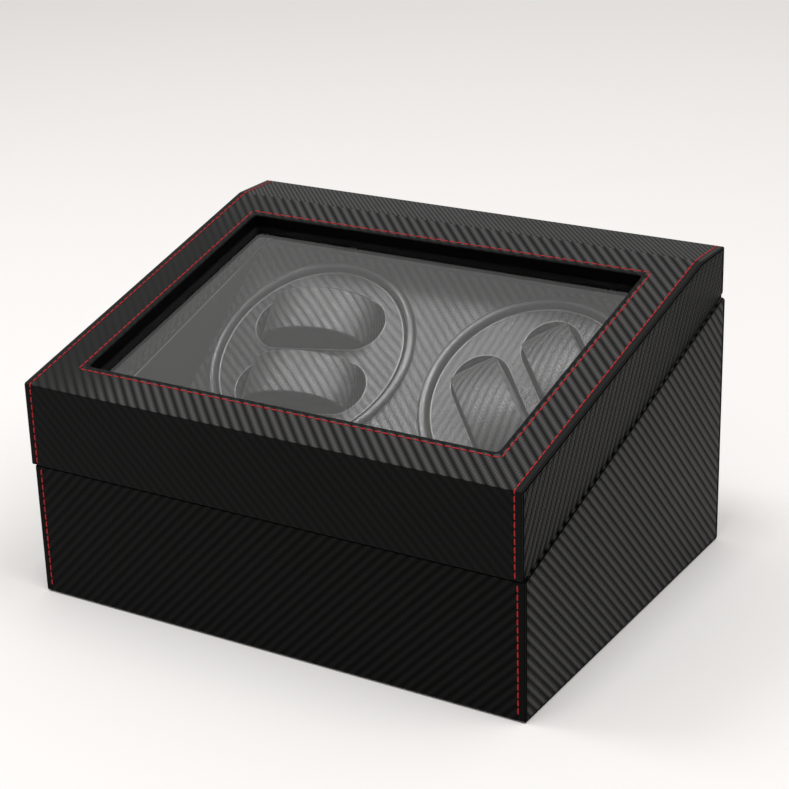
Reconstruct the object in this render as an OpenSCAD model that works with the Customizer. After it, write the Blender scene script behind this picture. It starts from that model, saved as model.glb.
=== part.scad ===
/* [Case] */
// Width of the base, side to side
base_w = 340; // [338:1:342]
// How far the lid is wider than the base on each side
lid_over = 0.5; // [0:0.5:1]
// How far the lid has slid to the left on its hinges
lid_slide = 2; // [0:0.5:3]
// Depth of the case, front to back
case_d = 266; // [260:1:290]
// Height of the front face
front_h = 140; // [134:1:150]
// Height of the back
rear_h = 199; // [192:1:215]
// Depth of the flat strip on top, behind the slope
rear_flat = 34; // [24:1:44]
// Height of the split between base and lid at the front
split_front = 86; // [70:1:92]
// Height of the split between base and lid at the back
split_rear = 167; // [162:1:172]
// Gap between the closed lid and the base
split_gap = 0.4; // [0.3:0.1:1]

/* [Boards and covering] */
// Thickness of the boards of the case
board_t = 6; // [4:0.5:8]
// Thickness of the leatherette covering
cover_t = 1; // [0.6:0.1:1.5]
// Width of the groove between a side panel and the wrapped strip
groove_w = 1; // [0.5:0.1:2]
// Radius of the folded edges of the covering
fold_r = 1.6; // [0.8:0.1:2]
// Radius of the bend where the slope meets the flat strip
bend_r = 15; // [8:1:25]
// Thickness of the felt under the case
felt_t = 0.4; // [0.3:0.1:1]
// How far the felt stays inside the edge of the case
felt_inset = 3; // [2:0.5:10]
// Thickness of the velvet boards that line the base
liner_t = 5.5; // [5:0.5:8]
// Height of the lining above the split
lip_h = 2.5; // [1:0.5:4]
// Room between the lining's lip and the lid
lip_clear = 0.5; // [0.3:0.1:1]
// Thickness of the lining sheet on the floor
lining_t = 1; // [0.5:0.1:2]

/* [Window] */
// Distance from each side of the lid to the window
window_side = 28.5; // [27:0.5:40]
// Distance from the window to the bend behind it
window_rear = 24; // [23:0.5:40]
// Distance from the front edge of the slope to the window
window_front = 27.5; // [24:0.5:32]
// Radius of the window's corners
window_r = 3; // [1:0.5:8]
// Thickness of the black edge lining of the window
reveal_t = 1.2; // [0.8:0.1:2]
// Thickness of the frame between the slope's board and the pane
spacer_t = 0.5; // [0.4:0.1:4]
// How far the frame stands out inside the edge lining
spacer_step = 0.4; // [0.2:0.1:1]
// Thickness of the pane
pane_t = 3; // [2:0.5:4]
// How far the pane reaches under the frame on each side
pane_lap = 8; // [5:0.5:10]
// Thickness of the retainer under the pane's edge
retainer_t = 5; // [3:0.5:6]
// Width of the frame and retainer outside the window
frame_lap = 15; // [14:0.5:16]
// Room around the pane in its rebate
pane_clear = 0.3; // [0.1:0.1:1]

/* [Stitching] */
// Width of a line of thread
stitch_w = 1; // [0.6:0.1:1.5]
// Height of the thread above the covering
stitch_h = 0.4; // [0.2:0.1:0.8]
// Distance from the side edge to the line of stitches
stitch_edge = 4.5; // [3:0.5:7]
// Distance from the window to the line of stitches around it
stitch_window = 4; // [3:0.5:6]
// Distance from the end of a line of stitches to the edge it stops at
stitch_end = 1.5; // [1:0.5:4]

/* [Turntable panel] */
// Angle of the panel from level
panel_tilt = 38.3; // [36:0.1:39]
// Thickness of the panel
panel_t = 6; // [4:0.5:8]
// Gap between the two bezels
bezel_between = 15.4; // [14:0.2:18]
// Gap between a bezel and the lining beside it
bezel_side = 2.8; // [2:0.1:4]
// Distance from the panel's upper edge to the back of the case
panel_behind = 29; // [28:0.5:32]
// How far the panel's upper edge stands above the split
panel_rise = 4.2; // [3:0.1:8]
// Width of the panel left behind the bezels
panel_margin = 5.5; // [4:0.5:8]
// Depth of the shelf's top below the panel's rear edge
shelf_drop = 5.5; // [5:0.5:6]
// Thickness of the rear shelf
shelf_t = 5; // [4:0.5:6]
// Width and height of the battens under the panel and shelf
batten = 7; // [5:0.5:8]
// Distance from the middle to the lower end of a side batten
batten_front = 50; // [30:1:70]
// Distance from the middle to the upper end of a side batten
batten_rear = 80; // [60:1:85]

/* [Turntables] */
// Thickness of the turntable disc
disc_t = 5; // [3:0.5:6]
// Gap between the disc and its bezel
disc_gap = 2; // [1:0.1:3]
// Width of the bezel's crown
bezel_w = 6; // [4:0.5:7]
// Height of the bezel's crown
bezel_h = 3.6; // [2:0.1:5]
// Thickness of the bezel's collar in the panel's hole
collar_t = 1; // [0.8:0.1:1.5]
// Length of a cushion slot
slot_l = 94; // [94:1:96]
// Width of a cushion slot
slot_w = 39; // [38:0.5:40]
// Distance of a slot's centre line from the disc's centre
slot_offset = 24.5; // [24:0.5:25]
// Depth of a cushion cup below the disc
cup_depth = 31; // [28:0.5:33]
// Thickness of the cup's walls
cup_t = 1.5; // [1:0.1:2.5]
// Radius of the plate that joins the cups
back_plate_r = 58; // [57.5:0.5:60]
// Thickness of the plate that joins the cups
back_plate_t = 3; // [2:0.5:4]
// Angle of the left disc's slots from level
left_phase = 9; // [-90:1:90]
// Angle of the right disc's slots from level
right_phase = -48; // [-90:1:90]

/* [Cushions] */
// Half of a cushion's length at the disc
cushion_half = 38; // [34:0.5:38.5]
// Width of a cushion
cushion_w = 31.5; // [29:0.5:32]
// Height of a cushion above the disc
cushion_h = 21.2; // [16:0.2:26]
// How far a cushion's underside tapers in at each end
cushion_taper = 5; // [2:0.5:10]
// Room under a cushion in its cup
cushion_rest = 0.3; // [0.2:0.1:1]

/* [Drive] */
// Distance of each gearbox from the middle
gearbox_side = 2.2; // [1.5:0.1:4]
// Pressure angle of the teeth
pressure_angle = 20; // [18:0.5:22]
// Play between the teeth, measured along the pitch circle
gear_play = 0.3; // [0.2:0.05:0.5]
// Width of the gear's teeth
gear_face = 8; // [6:0.5:9]
// Width of the pinion's teeth
pinion_face = 7; // [5:0.5:7.5]
// Radius of the hub under the cups
hub_r = 9; // [7:0.5:12]
// Length of the hub below the plate
hub_l = 15; // [12:0.5:17]
// Radius of the fixed spindle that the hub turns on
spindle_r = 4; // [3:0.25:5]
// Running gap around a shaft in its bore
shaft_gap = 0.05; // [0.02:0.01:0.09]
// Room between the hub and the spindle's flange
thrust_gap = 0.3; // [0.2:0.1:0.5]
// Radius of the spindle's flange
flange_r = 8; // [6:0.5:10]
// Thickness of the spindle's flange
flange_t = 1.5; // [1:0.1:2]
// Thickness of the steel plate that carries the drive
plate_t = 2; // [1.5:0.1:3]
// Gap between each end of the drive plate and the lining
plate_side = 9.5; // [8:0.5:11]
// Half of the drive plate's length along the slope
plate_half_l = 46; // [45:0.5:48]
// Distance of the outer posts from the ends of the drive plate
post_edge = 6; // [5:0.5:7]
// Distance of the posts from the turntable centre line
post_l = 40; // [38:0.5:41]
// Radius of a post
post_r = 3.5; // [3:0.5:4]
// Radius of the gear motor's gearbox
gearbox_r = 16; // [14:0.5:17]
// Length of the gearbox
gearbox_l = 18; // [14:0.5:20]
// Radius of the motor
motor_r = 12; // [10:0.5:13]
// Length of the motor
motor_l = 24; // [20:0.5:26]
// Height of the end cap under the motor
cap_h = 2; // [1:0.5:3]
// Distance of the motor's screws from its shaft
motor_screw = 19.5; // [18.5:0.5:21]
// Radius of the motor's output shaft
output_r = 2; // [1.5:0.25:2.5]

/* [Fasteners] */
// Radius of a screw's shank
screw_r = 1.3; // [1:0.1:1.5]
// Radius of a screw's head
screw_head_r = 2.6; // [2:0.1:3]
// Height of a screw's head
screw_head_h = 1.4; // [1:0.1:2]
// Depth a screw bites
screw_bite = 5; // [4:0.5:5.5]

/* [Hinges] */
// Distance of the hinge pins inside the rear face
hinge_inset = 2; // [1.8:0.1:3]
// Radius of a hinge barrel
barrel_r = 1.9; // [1.6:0.1:2]
// Radius of a hinge pin
pin_r = 0.9; // [0.7:0.1:1]
// Length of a hinge
hinge_l = 36; // [28:1:44]
// Distance of each hinge from the middle
hinge_x = 110; // [80:1:130]
// Thickness of a hinge leaf
leaf_t = 0.8; // [0.6:0.1:1]
// Reach of a leaf's flap above or below the hinge line
flap_reach = 8.7; // [8.4:0.1:9]
// Gap between two knuckles
knuckle_gap = 0.3; // [0.2:0.1:0.6]
// Angle of the groove cut in the base behind the hinge, down from level
groove_down = 45; // [40:1:50]
// Angle of the groove cut in the lid behind the hinge, up from level
groove_up = 57; // [55:1:62]

/* [Controls] */
// Distance from the control recess to the lining beside it
control_side = 17.5; // [14:0.5:20]
// Height of the control recess's centre
control_z = 42; // [36:1:46]
// Width of the control recess
control_w = 80; // [76:1:84]
// Height of the control recess
control_h = 34; // [30:0.5:38]
// Depth of the control recess
control_depth = 12; // [11:0.5:13]
// Wall of the control tub
tub_t = 2; // [1.5:0.1:2.5]
// Width of the tub's rim against the inside of the back
tub_rim = 4; // [3:0.5:6]
// Distance between a knob and the middle of the recess
knob_pitch = 26; // [24:0.5:27]
// Radius of a mode knob
knob_r = 7; // [5:0.5:8]
// Length of a mode knob
knob_l = 8.5; // [6:0.5:9]
// Radius of a knob's stem
stem_r = 2; // [1.5:0.25:2.5]
// Width of a rotary switch
switch_w = 14; // [12:0.5:16]
// Thickness of a rotary switch, front to back
switch_t = 8; // [6:0.5:9]
// Radius of the power inlet's hole
inlet_r = 2.9; // [2.8:0.05:3]
// Depth of the power inlet's hole
inlet_depth = 9; // [8:0.5:9.5]
// Radius of the power inlet's centre pin
inlet_pin_r = 1; // [0.8:0.05:1.2]
// Width of the power inlet's body
inlet_w = 10; // [9:0.5:12]
// Thickness of the circuit board
circuit_t = 1.6; // [1:0.1:2]
// Distance of the circuit board's edge inside the recess
circuit_inset = 2.5; // [2:0.5:4]
// Width of the chip on the circuit board
chip_w = 12; // [8:1:14]
// Radius of a capacitor on the circuit board
capacitor_r = 3; // [2:0.5:4]
// Length of a capacitor
capacitor_l = 7; // [5:0.5:8]
// Radius of a pair of wires
wire_r = 1.2; // [0.8:0.1:1.5]

/* [Hidden] */
$fn = 48;
eps = 0.01;
half_d = case_d / 2;
half_w = base_w / 2;
wall_t = board_t + cover_t;
base_foot = felt_t;
floor_top = base_foot + cover_t + board_t;
split_angle = atan((split_rear - split_front) / case_d);
roof_angle = atan((rear_h - front_h) / (case_d - rear_flat));
half_gap = split_gap / 2;
lid_x = -lid_slide;
lid_half = half_w + lid_over;
lip_t = liner_t - lid_slide + lid_over - lip_clear;
inner_half = half_w - wall_t - liner_t;
window_w = 2 * (lid_half - window_side);
window_l = (case_d - rear_flat) / cos(roof_angle) - window_front - window_rear;
fit = 0.2;

// heights down through the window, measured from the surface of the slope
reveal_depth = wall_t;
spacer_depth = wall_t + spacer_t;
pane_depth = spacer_depth + pane_t;
retainer_depth = pane_depth + retainer_t;

// two bezels fill the width inside the lining
bezel_outer = (inner_half - bezel_side - bezel_between / 2) / 2;
bezel_inner = bezel_outer - bezel_w;
disc_r = bezel_inner - disc_gap;
table_x = bezel_outer + bezel_between / 2;
panel_half = bezel_outer + panel_margin;
panel_rear = half_d - panel_behind;
table_y = panel_rear - panel_half * cos(panel_tilt);
table_z = split_z(panel_rear) + panel_rise - panel_half * sin(panel_tilt);

// heights down through a turntable, measured from the surface of the panel
cup_floor = disc_t + cup_depth;
back_plate_top = cup_floor + cup_t;
gear_top = back_plate_top + back_plate_t;
hub_end = gear_top + hub_l;
flange_top = hub_end + thrust_gap;
plate_top = flange_top + flange_t;
plate_end = plate_top + plate_t;

// teeth of the gear under each turntable and of its pinion
gear_teeth = 60;
pinion_teeth = 12;
motor_x = gearbox_side + gearbox_r;
gear_distance = table_x - motor_x;
gear_module = 2 * gear_distance / (gear_teeth + pinion_teeth);

plate_half_w = inner_half - plate_side;
post_x = plate_half_w - post_edge;

hinge_y = half_d - hinge_inset;
control_x = inner_half - control_side - control_w / 2;
tub_floor = half_d - control_depth;
circuit_y = tub_floor - tub_t - switch_t;

leather = [0.13, 0.13, 0.14];
velvet = [0.05, 0.05, 0.06];
fibreboard = [0.55, 0.42, 0.30];
gloss = [0.06, 0.06, 0.07];
thread = [0.75, 0.10, 0.12];
steel = [0.70, 0.71, 0.73];
nylon = [0.88, 0.87, 0.83];

// ---- outlines of the case, seen from the side as [y, z] ----

function split_z(y) = split_front + (y + half_d) * tan(split_angle);
function roof_z(y, inset) = min(
    front_h + (y + half_d) * tan(roof_angle) - inset / cos(roof_angle), rear_h - inset);
function bend_y(inset) =
    (rear_h - inset - front_h + inset / cos(roof_angle)) / tan(roof_angle) - half_d;
function roof_corner(y, inset) = [y, roof_z(y, inset)];
function bend(inset) = [bend_y(inset), rear_h - inset];
function panel_z(y, depth) = table_z + (y - table_y) * tan(panel_tilt) - depth / cos(panel_tilt);
function panel_y(z, depth) = table_y + (z - table_z) / tan(panel_tilt) + depth / sin(panel_tilt);

function unit(v) = v / norm(v);
// points of an arc of radius r that rounds the corner b between a and c
function arc_corner(a, b, c, r, steps) =
    let (u = unit(a - b), v = unit(c - b), half = acos(u * v) / 2,
         centre = b + unit(u + v) * r / sin(half),
         from = b + u * r / tan(half) - centre, to = b + v * r / tan(half) - centre,
         start = atan2(from[1], from[0]),
         turn = atan2(from[0] * to[1] - from[1] * to[0], from * to))
    [for (i = [0:steps]) centre + r * [cos(start + turn * i / steps), sin(start + turn * i / steps)]];
function rounded_box(w, l, r) =
    let (c = [[w / 2, l / 2], [-w / 2, l / 2], [-w / 2, -l / 2], [w / 2, -l / 2]])
    [for (i = [0:3]) each arc_corner(c[(i + 3) % 4], c[i], c[(i + 1) % 4], r, 6)];

// ---- placing ----

// a side outline carried across from x0 to x1
module across(x0, x1) {
    translate([x0, 0, 0]) rotate([90, 0, 90]) linear_extrude(x1 - x0) children();
}
// onto the slope of the lid: y runs up the slope from its front edge, z out of it
module on_roof() {
    translate([lid_x, -half_d, front_h]) rotate([roof_angle, 0, 0]) children();
}
// onto the panel at a turntable's centre, z out of the panel
module on_panel(x) {
    translate([x, table_y, table_z]) rotate([panel_tilt, 0, 0]) children();
}
// onto the middle of each hinge, with the frame of the case
module at_hinges() {
    for (x = [-hinge_x, hinge_x]) translate([x, hinge_y, split_z(hinge_y)]) children();
}
module both_sides() {
    for (side = [-1, 1]) scale([side, 1, 1]) children();
}
module ring(outer_w, outer_l, inner_w, inner_l, r, depth, t) {
    translate([0, window_front + window_l / 2, -depth - t])
        linear_extrude(t) difference() {
            polygon(rounded_box(outer_w, outer_l, r));
            polygon(rounded_box(inner_w, inner_l, r));
        }
}
// a hole of the window's size, widened by grow on every side
module window_hole(grow) {
    on_roof() translate([0, window_front + window_l / 2, -retainer_depth])
        linear_extrude(2 * retainer_depth)
            polygon(rounded_box(window_w + 2 * grow, window_l + 2 * grow, window_r));
}
// the groove behind the hinge line and the room for the barrels
module hinge_room() {
    z = split_z(hinge_y);
    depth = 2 * hinge_inset;
    across(-base_w, base_w) polygon([
        [hinge_y, z], [hinge_y + depth, z - depth * tan(groove_down)],
        [hinge_y + depth, z + depth * tan(groove_up)]]);
    at_hinges() rod(barrel_r + fit, -hinge_l / 2 - fit, hinge_l / 2 + fit);
}
// a round bar along x
module rod(r, x0, x1) {
    translate([x0, 0, 0]) rotate([0, 90, 0]) cylinder(r = r, h = x1 - x0);
}
// a screw with its head above z = 0 and its shank below
module screw(reach) {
    cylinder(r = screw_head_r, h = screw_head_h);
    translate([0, 0, -reach]) cylinder(r = screw_r, h = reach + eps);
}
module hole(r, z0, z1) {
    translate([0, 0, z0]) cylinder(r = r, h = z1 - z0);
}

// ---- base: boards and covering ----

module bottom_felt() color(velvet)
    translate([-half_w + felt_inset, -half_d + felt_inset, 0])
        cube([base_w - 2 * felt_inset, case_d - 2 * felt_inset, felt_t]);

module floor_board() color(fibreboard)
    translate([-half_w + cover_t, -half_d + cover_t, base_foot + cover_t])
        cube([base_w - 2 * cover_t, case_d - 2 * cover_t, board_t]);

module front_board() color(fibreboard)
    across(-half_w + cover_t, half_w - cover_t) polygon([
        [-half_d + cover_t, floor_top], [-half_d + wall_t, floor_top],
        [-half_d + wall_t, split_z(-half_d + wall_t) - half_gap - cover_t],
        [-half_d + cover_t, split_z(-half_d + cover_t) - half_gap - cover_t]]);

module back_board() color(fibreboard) difference() {
    across(-half_w + cover_t, half_w - cover_t) polygon([
        [half_d - wall_t, floor_top], [half_d - cover_t, floor_top],
        [half_d - cover_t, split_z(half_d - cover_t) - half_gap],
        [half_d - wall_t, split_z(half_d - wall_t) - half_gap]]);
    hinge_room();
    leaf_recess();
    control_hole();
    hinge_screw_holes(-1);
}

module base_side_boards() color(fibreboard) both_sides()
    across(half_w - wall_t, half_w - cover_t) polygon([
        [-half_d + wall_t, floor_top], [half_d - wall_t, floor_top],
        [half_d - wall_t, split_z(half_d - wall_t) - half_gap - cover_t],
        [-half_d + wall_t, split_z(-half_d + wall_t) - half_gap - cover_t]]);

// one strip up the front, under the floor and up the back, turned in over the front rim
module base_cover() color(leather) difference() {
    top_front = split_z(-half_d) - half_gap;
    top_back = split_z(half_d) - half_gap;
    in = half_d - cover_t;
    foot_in = base_foot + cover_t;
    rim = -half_d + wall_t;
    union() {
        across(-half_w, half_w) polygon(concat(
            [[-half_d, top_front]],
            arc_corner([-half_d, top_front], [-half_d, base_foot], [half_d, base_foot], fold_r, 4),
            arc_corner([-half_d, base_foot], [half_d, base_foot], [half_d, top_back], fold_r, 4),
            [[half_d, top_back], [in, split_z(in) - half_gap], [in, foot_in], [-in, foot_in],
             [-in, split_z(-in) - half_gap]]));
        across(-half_w + cover_t, half_w - cover_t) polygon([
            [-half_d, top_front], [-half_d, top_front - cover_t],
            [rim, split_z(rim) - half_gap - cover_t], [rim, split_z(rim) - half_gap]]);
    }
    hinge_room();
    control_hole();
}

// a skin on the side, turned in over the rim; side is -1 for left, 1 for right
module base_side_panel(side) color(leather) scale([side, 1, 1]) difference() {
    front = -half_d + cover_t + groove_w;
    rim_front = -half_d + wall_t;
    rim_back = half_d - wall_t;
    union() {
        across(half_w - cover_t, half_w) polygon([
            [front, base_foot + cover_t], [-front, base_foot + cover_t],
            [-front, split_z(-front) - half_gap], [front, split_z(front) - half_gap]]);
        across(half_w - wall_t, half_w - cover_t) polygon([
            [rim_front, split_z(rim_front) - half_gap - cover_t],
            [rim_back, split_z(rim_back) - half_gap - cover_t],
            [rim_back, split_z(rim_back) - half_gap],
            [rim_front, split_z(rim_front) - half_gap]]);
    }
    hinge_room();
}
module base_left_panel() base_side_panel(-1);
module base_right_panel() base_side_panel(1);

module base_stitching() color(thread) {
    low = base_foot + fold_r + stitch_end;
    for (side = [-1, 1], face = [-1, 1]) {
        y = face * half_d;
        outer = y + face * stitch_h;
        x = side * (half_w - stitch_edge);
        top = split_z(min(y, outer)) - half_gap - stitch_end
            - (face > 0 ? hinge_inset * (tan(groove_down) + tan(split_angle)) : 0);
        across(x - stitch_w / 2, x + stitch_w / 2)
            polygon([[y, low], [outer, low], [outer, top], [y, top]]);
    }
}

// ---- base: lining, panel and shelf ----

module side_liners() color(velvet) both_sides() {
    back = half_d - wall_t;
    outer = half_w - wall_t;
    across(inner_half, outer) polygon([
        [-back, floor_top], [back, floor_top],
        [back, split_z(back) - half_gap], [-back, split_z(-back) - half_gap]]);
    end = back - lip_clear;
    across(inner_half, inner_half + lip_t) polygon([
        [-end, split_z(-end) - half_gap - eps], [end, split_z(end) - half_gap - eps],
        [end, split_z(end) + lip_h], [-end, split_z(-end) + lip_h]]);
}

module front_liner() color(velvet) {
    y0 = -half_d + wall_t;
    y1 = y0 + liner_t;
    y_lip = y1 - lip_t;
    across(-inner_half, inner_half) polygon([
        [y0, floor_top], [y1, floor_top], [y1, split_z(y1) + lip_h],
        [y_lip, split_z(y_lip) + lip_h], [y_lip, split_z(y_lip) - half_gap],
        [y0, split_z(y0) - half_gap]]);
}

module well_lining() color(velvet)
    across(-inner_half, inner_half) {
        y0 = -half_d + wall_t + liner_t;
        polygon([[y0, floor_top], [panel_y(floor_top, 0), floor_top],
                 [panel_y(floor_top + lining_t, 0), floor_top + lining_t],
                 [y0, floor_top + lining_t]]);
    }

module battens() color(fibreboard) {
    back = half_d - wall_t;
    shelf_under = panel_z(panel_rear, 0) - shelf_drop - shelf_t;
    low = panel_t + batten;
    both_sides() across(inner_half - batten, inner_half) polygon([
        [-batten_front, panel_z(-batten_front, panel_t)], [-batten_front, panel_z(-batten_front, low)],
        [batten_rear, panel_z(batten_rear, low)], [batten_rear, panel_z(batten_rear, panel_t)]]);
    translate([-inner_half, back - batten, shelf_under - batten])
        cube([2 * inner_half, batten, batten]);
}

module turntable_panel() color(leather) difference() {
    across(-inner_half, inner_half) polygon([
        [panel_y(floor_top, 0), floor_top], [panel_y(floor_top, panel_t), floor_top],
        [panel_rear, panel_z(panel_rear, panel_t)], [panel_rear, panel_z(panel_rear, 0)]]);
    for (side = [-1, 1]) on_panel(side * table_x)
        hole(bezel_inner + collar_t, -2 * panel_t, panel_t);
    panel_screw_holes();
}

module rear_shelf() color(velvet) {
    top = panel_z(panel_rear, 0) - shelf_drop;
    translate([-inner_half, panel_rear, top - shelf_t])
        cube([2 * inner_half, half_d - wall_t - panel_rear, shelf_t]);
}

// a crowned ring on the panel with a collar down through it
module bezel(x) color(gloss) on_panel(x) rotate_extrude($fn = 120) {
    mid = bezel_inner + bezel_w / 2;
    polygon(concat(
        [[bezel_inner, -panel_t]],
        [for (i = [10:-1:0]) [mid + bezel_w / 2 * cos(i * 18), bezel_h * sin(i * 18)]],
        [[bezel_inner + collar_t, 0], [bezel_inner + collar_t, -panel_t]]));
}
module left_bezel() bezel(-table_x);
module right_bezel() bezel(table_x);

// ---- drive ----

post_places = [for (x = [-post_x, 0, post_x], l = [-post_l, post_l]) [x, l]];

module drive_plate() color(steel) on_panel(0) difference() {
    translate([-plate_half_w, -plate_half_l, -plate_end])
        cube([2 * plate_half_w, 2 * plate_half_l, plate_t]);
    for (p = post_places) translate(p) hole(screw_r + fit, -plate_end - 1, 0);
    for (side = [-1, 1]) {
        translate([side * table_x, 0, 0]) hole(spindle_r - 1, -plate_end - 1, 0);
        translate([side * motor_x, 0, 0]) hole(2 * output_r + fit, -plate_end - 1, 0);
        for (end = [-1, 1]) translate([side * motor_x, end * motor_screw, 0])
            hole(screw_r + fit, -plate_end - 1, 0);
    }
}

module drive_posts() color(steel) on_panel(0) difference() {
    for (p = post_places) translate(p) hole(post_r, -plate_top, -panel_t);
    for (p = post_places) translate(p) {
        hole(screw_r + shaft_gap, -plate_top - 1, -plate_top + screw_bite + 1);
        hole(screw_r + shaft_gap, -panel_t - screw_bite - 1, -panel_t + 1);
    }
}

// what is left of the panel under the sunk heads of the screws that hold the posts
panel_web = panel_t - cover_t - screw_head_h - fit;

// those screws go down through the panel, from under its covering
module panel_screw_holes() on_panel(0)
    for (p = post_places) translate(p) {
        hole(screw_r + shaft_gap, -panel_t - 1, -panel_t + panel_web + eps);
        hole(screw_head_r + fit, -panel_t + panel_web, -cover_t);
    }

module spindle(x) color(steel) on_panel(x) {
    hole(spindle_r, -flange_top - eps, -gear_top - 2);
    hole(flange_r, -plate_top, -flange_top);
    hole(spindle_r - 1 - shaft_gap, -plate_end, -plate_top + eps);
}
module left_spindle() spindle(-table_x);
module right_spindle() spindle(table_x);

module gear_motor(x) color(steel) on_panel(x) difference() {
    union() {
        hole(gearbox_r, -plate_end - gearbox_l, -plate_end);
        hole(2 * output_r, -plate_end - eps, -plate_top + 1);
        hole(motor_r, -plate_end - gearbox_l - motor_l, -plate_end - gearbox_l + eps);
        hole(motor_r / 2, -plate_end - gearbox_l - motor_l - cap_h, -plate_end - gearbox_l - motor_l + eps);
        for (end = [-1, 1]) translate([0, end * motor_screw, 0])
            hole(2 * screw_head_r, -plate_end - screw_bite, -plate_end);
    }
    hole(output_r + shaft_gap, -plate_end - gearbox_l / 2, 0);
    for (end = [-1, 1]) translate([0, end * motor_screw, 0])
        hole(screw_r + shaft_gap, -plate_end - screw_bite - 1, 0);
}
module left_gear_motor() gear_motor(-motor_x);
module right_gear_motor() gear_motor(motor_x);

// a point of an involute from a circle of radius base_r, at the radius r
function involute_turn(base_r, r) =
    let (a = acos(min(1, base_r / r))) tan(a) * 180 / PI - a;
// half the angle that a tooth spans at the radius r
function tooth_half(teeth, r) =
    let (pitch_r = gear_module * teeth / 2, base_r = pitch_r * cos(pressure_angle))
    90 / teeth - gear_play * 90 / (PI * pitch_r)
        + involute_turn(base_r, pitch_r) - involute_turn(base_r, max(r, base_r));
// outline of a spur gear, with a tooth centred on the angle start
function gear_points(teeth, start) =
    let (pitch_r = gear_module * teeth / 2,
         radii = [pitch_r - 1.2 * gear_module, pitch_r - 0.5 * gear_module, pitch_r,
                  pitch_r + 0.4 * gear_module, pitch_r + 0.8 * gear_module])
    [for (i = [0:teeth - 1], side = [-1, 1], k = [0:4])
        let (r = radii[side < 0 ? k : 4 - k],
             a = start + i * 360 / teeth + side * tooth_half(teeth, r))
        r * [cos(a), sin(a)]];

// a tooth of the left gear points at its pinion, which lies towards the middle
module gear(x) color(nylon) on_panel(x) difference() {
    translate([0, 0, -gear_top - gear_face]) linear_extrude(gear_face)
        polygon(gear_points(gear_teeth, 0));
    hole(hub_r + shaft_gap, -gear_top - gear_face - 1, -gear_top + 1);
    for (i = [0:5]) rotate([0, 0, 60 * i + 30]) translate([(hub_r + gear_distance * 0.75) / 2, 0, 0])
        hole(hub_r, -gear_top - gear_face - 1, -gear_top + 1);
}
module left_gear() gear(-table_x);
module right_gear() gear(table_x);

module pinion(x) color("goldenrod") on_panel(x) {
    mid = gear_top + gear_face / 2;
    translate([0, 0, -mid - pinion_face / 2]) linear_extrude(pinion_face)
        polygon(gear_points(pinion_teeth, 180 / pinion_teeth));
    hole(output_r, -plate_end - gearbox_l / 2 + 1, -mid);
}
module left_pinion() pinion(-motor_x);
module right_pinion() pinion(motor_x);

// ---- turntables ----

module slot_shape(grow) {
    r = slot_w / 2 + grow;
    straight = (slot_l - slot_w) / 2;
    translate([-straight, -r]) square([2 * straight, 2 * r]);
    for (end = [-1, 1]) translate([end * straight, 0]) circle(r = r);
}
module slots(grow, z0, z1) {
    for (side = [-1, 1]) translate([0, side * slot_offset, z0])
        linear_extrude(z1 - z0) slot_shape(grow);
}

module disc(x, phase) color(leather) on_panel(x) rotate([0, 0, phase]) difference() {
    translate([0, 0, -disc_t]) cylinder(r = disc_r, h = disc_t, $fn = 120);
    slots(0, -disc_t - 1, 1);
}
module left_disc() disc(-table_x, left_phase);
module right_disc() disc(table_x, right_phase);

// two cups under the slots, the plate that joins them and the hub
module cups(x, phase) color(gloss) on_panel(x) rotate([0, 0, phase]) difference() {
    union() {
        slots(cup_t, -back_plate_top - eps, -disc_t);
        hole(back_plate_r, -gear_top, -back_plate_top);
        hole(hub_r, -hub_end, -gear_top + eps);
    }
    slots(0, -cup_floor, 0);
    hole(spindle_r + shaft_gap, -hub_end - 1, -gear_top - 1);
}
module left_cups() cups(-table_x, left_phase);
module right_cups() cups(table_x, right_phase);

// an arched pad: rounded over the top, tapered below the disc
module cushion(x, phase, side) color(leather) on_panel(x) rotate([0, 0, phase]) {
    low = -cup_floor + cushion_rest;
    steps = 20;
    top = [for (i = [0:steps]) let (a = 180 * i / steps) [cushion_half * cos(a), cushion_h * sin(a)]];
    translate([0, side * slot_offset + cushion_w / 2, 0]) rotate([90, 0, 0]) linear_extrude(cushion_w)
        polygon(concat(top, [[-cushion_half + cushion_taper, low], [cushion_half - cushion_taper, low]]));
}
module left_upper_cushion() cushion(-table_x, left_phase, 1);
module left_lower_cushion() cushion(-table_x, left_phase, -1);
module right_upper_cushion() cushion(table_x, right_phase, 1);
module right_lower_cushion() cushion(table_x, right_phase, -1);

// ---- controls at the back ----

module control_hole()
    translate([control_x - control_w / 2, half_d - wall_t - 1, control_z - control_h / 2])
        cube([control_w, wall_t + 2, control_h]);

knob_places = [for (side = [-1, 1]) control_x + side * knob_pitch];
tub_back = tub_floor - tub_t;

// z runs out of the back of the case
module on_tub(x) translate([x, tub_back, control_z]) rotate([-90, 0, 0]) children();

module control_tub() color(gloss) difference() {
    w = control_w - 2 * fit;
    h = control_h - 2 * fit;
    union() {
        translate([control_x - w / 2, tub_back, control_z - h / 2])
            cube([w, half_d - fit - tub_back, h]);
        translate([control_x - w / 2 - tub_rim, half_d - wall_t - tub_t, control_z - h / 2 - tub_rim])
            cube([w + 2 * tub_rim, tub_t, h + 2 * tub_rim]);
    }
    translate([control_x - w / 2 + tub_t, tub_floor, control_z - h / 2 + tub_t])
        cube([w - 2 * tub_t, control_depth + 1, h - 2 * tub_t]);
    for (x = knob_places) on_tub(x) hole(stem_r + 1 + fit, -1, tub_t + 1);
    on_tub(control_x) hole(inlet_r + 1.2 + fit, -1, tub_t + 1);
}

module rotary_switches() color(nylon) for (x = knob_places) on_tub(x) difference() {
    union() {
        translate([-switch_w / 2, -switch_w / 2, -switch_t]) cube([switch_w, switch_w, switch_t]);
        hole(stem_r + 1, -eps, tub_t);
    }
    hole(stem_r + shaft_gap, -switch_t + 1, tub_t + 1);
}

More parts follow.
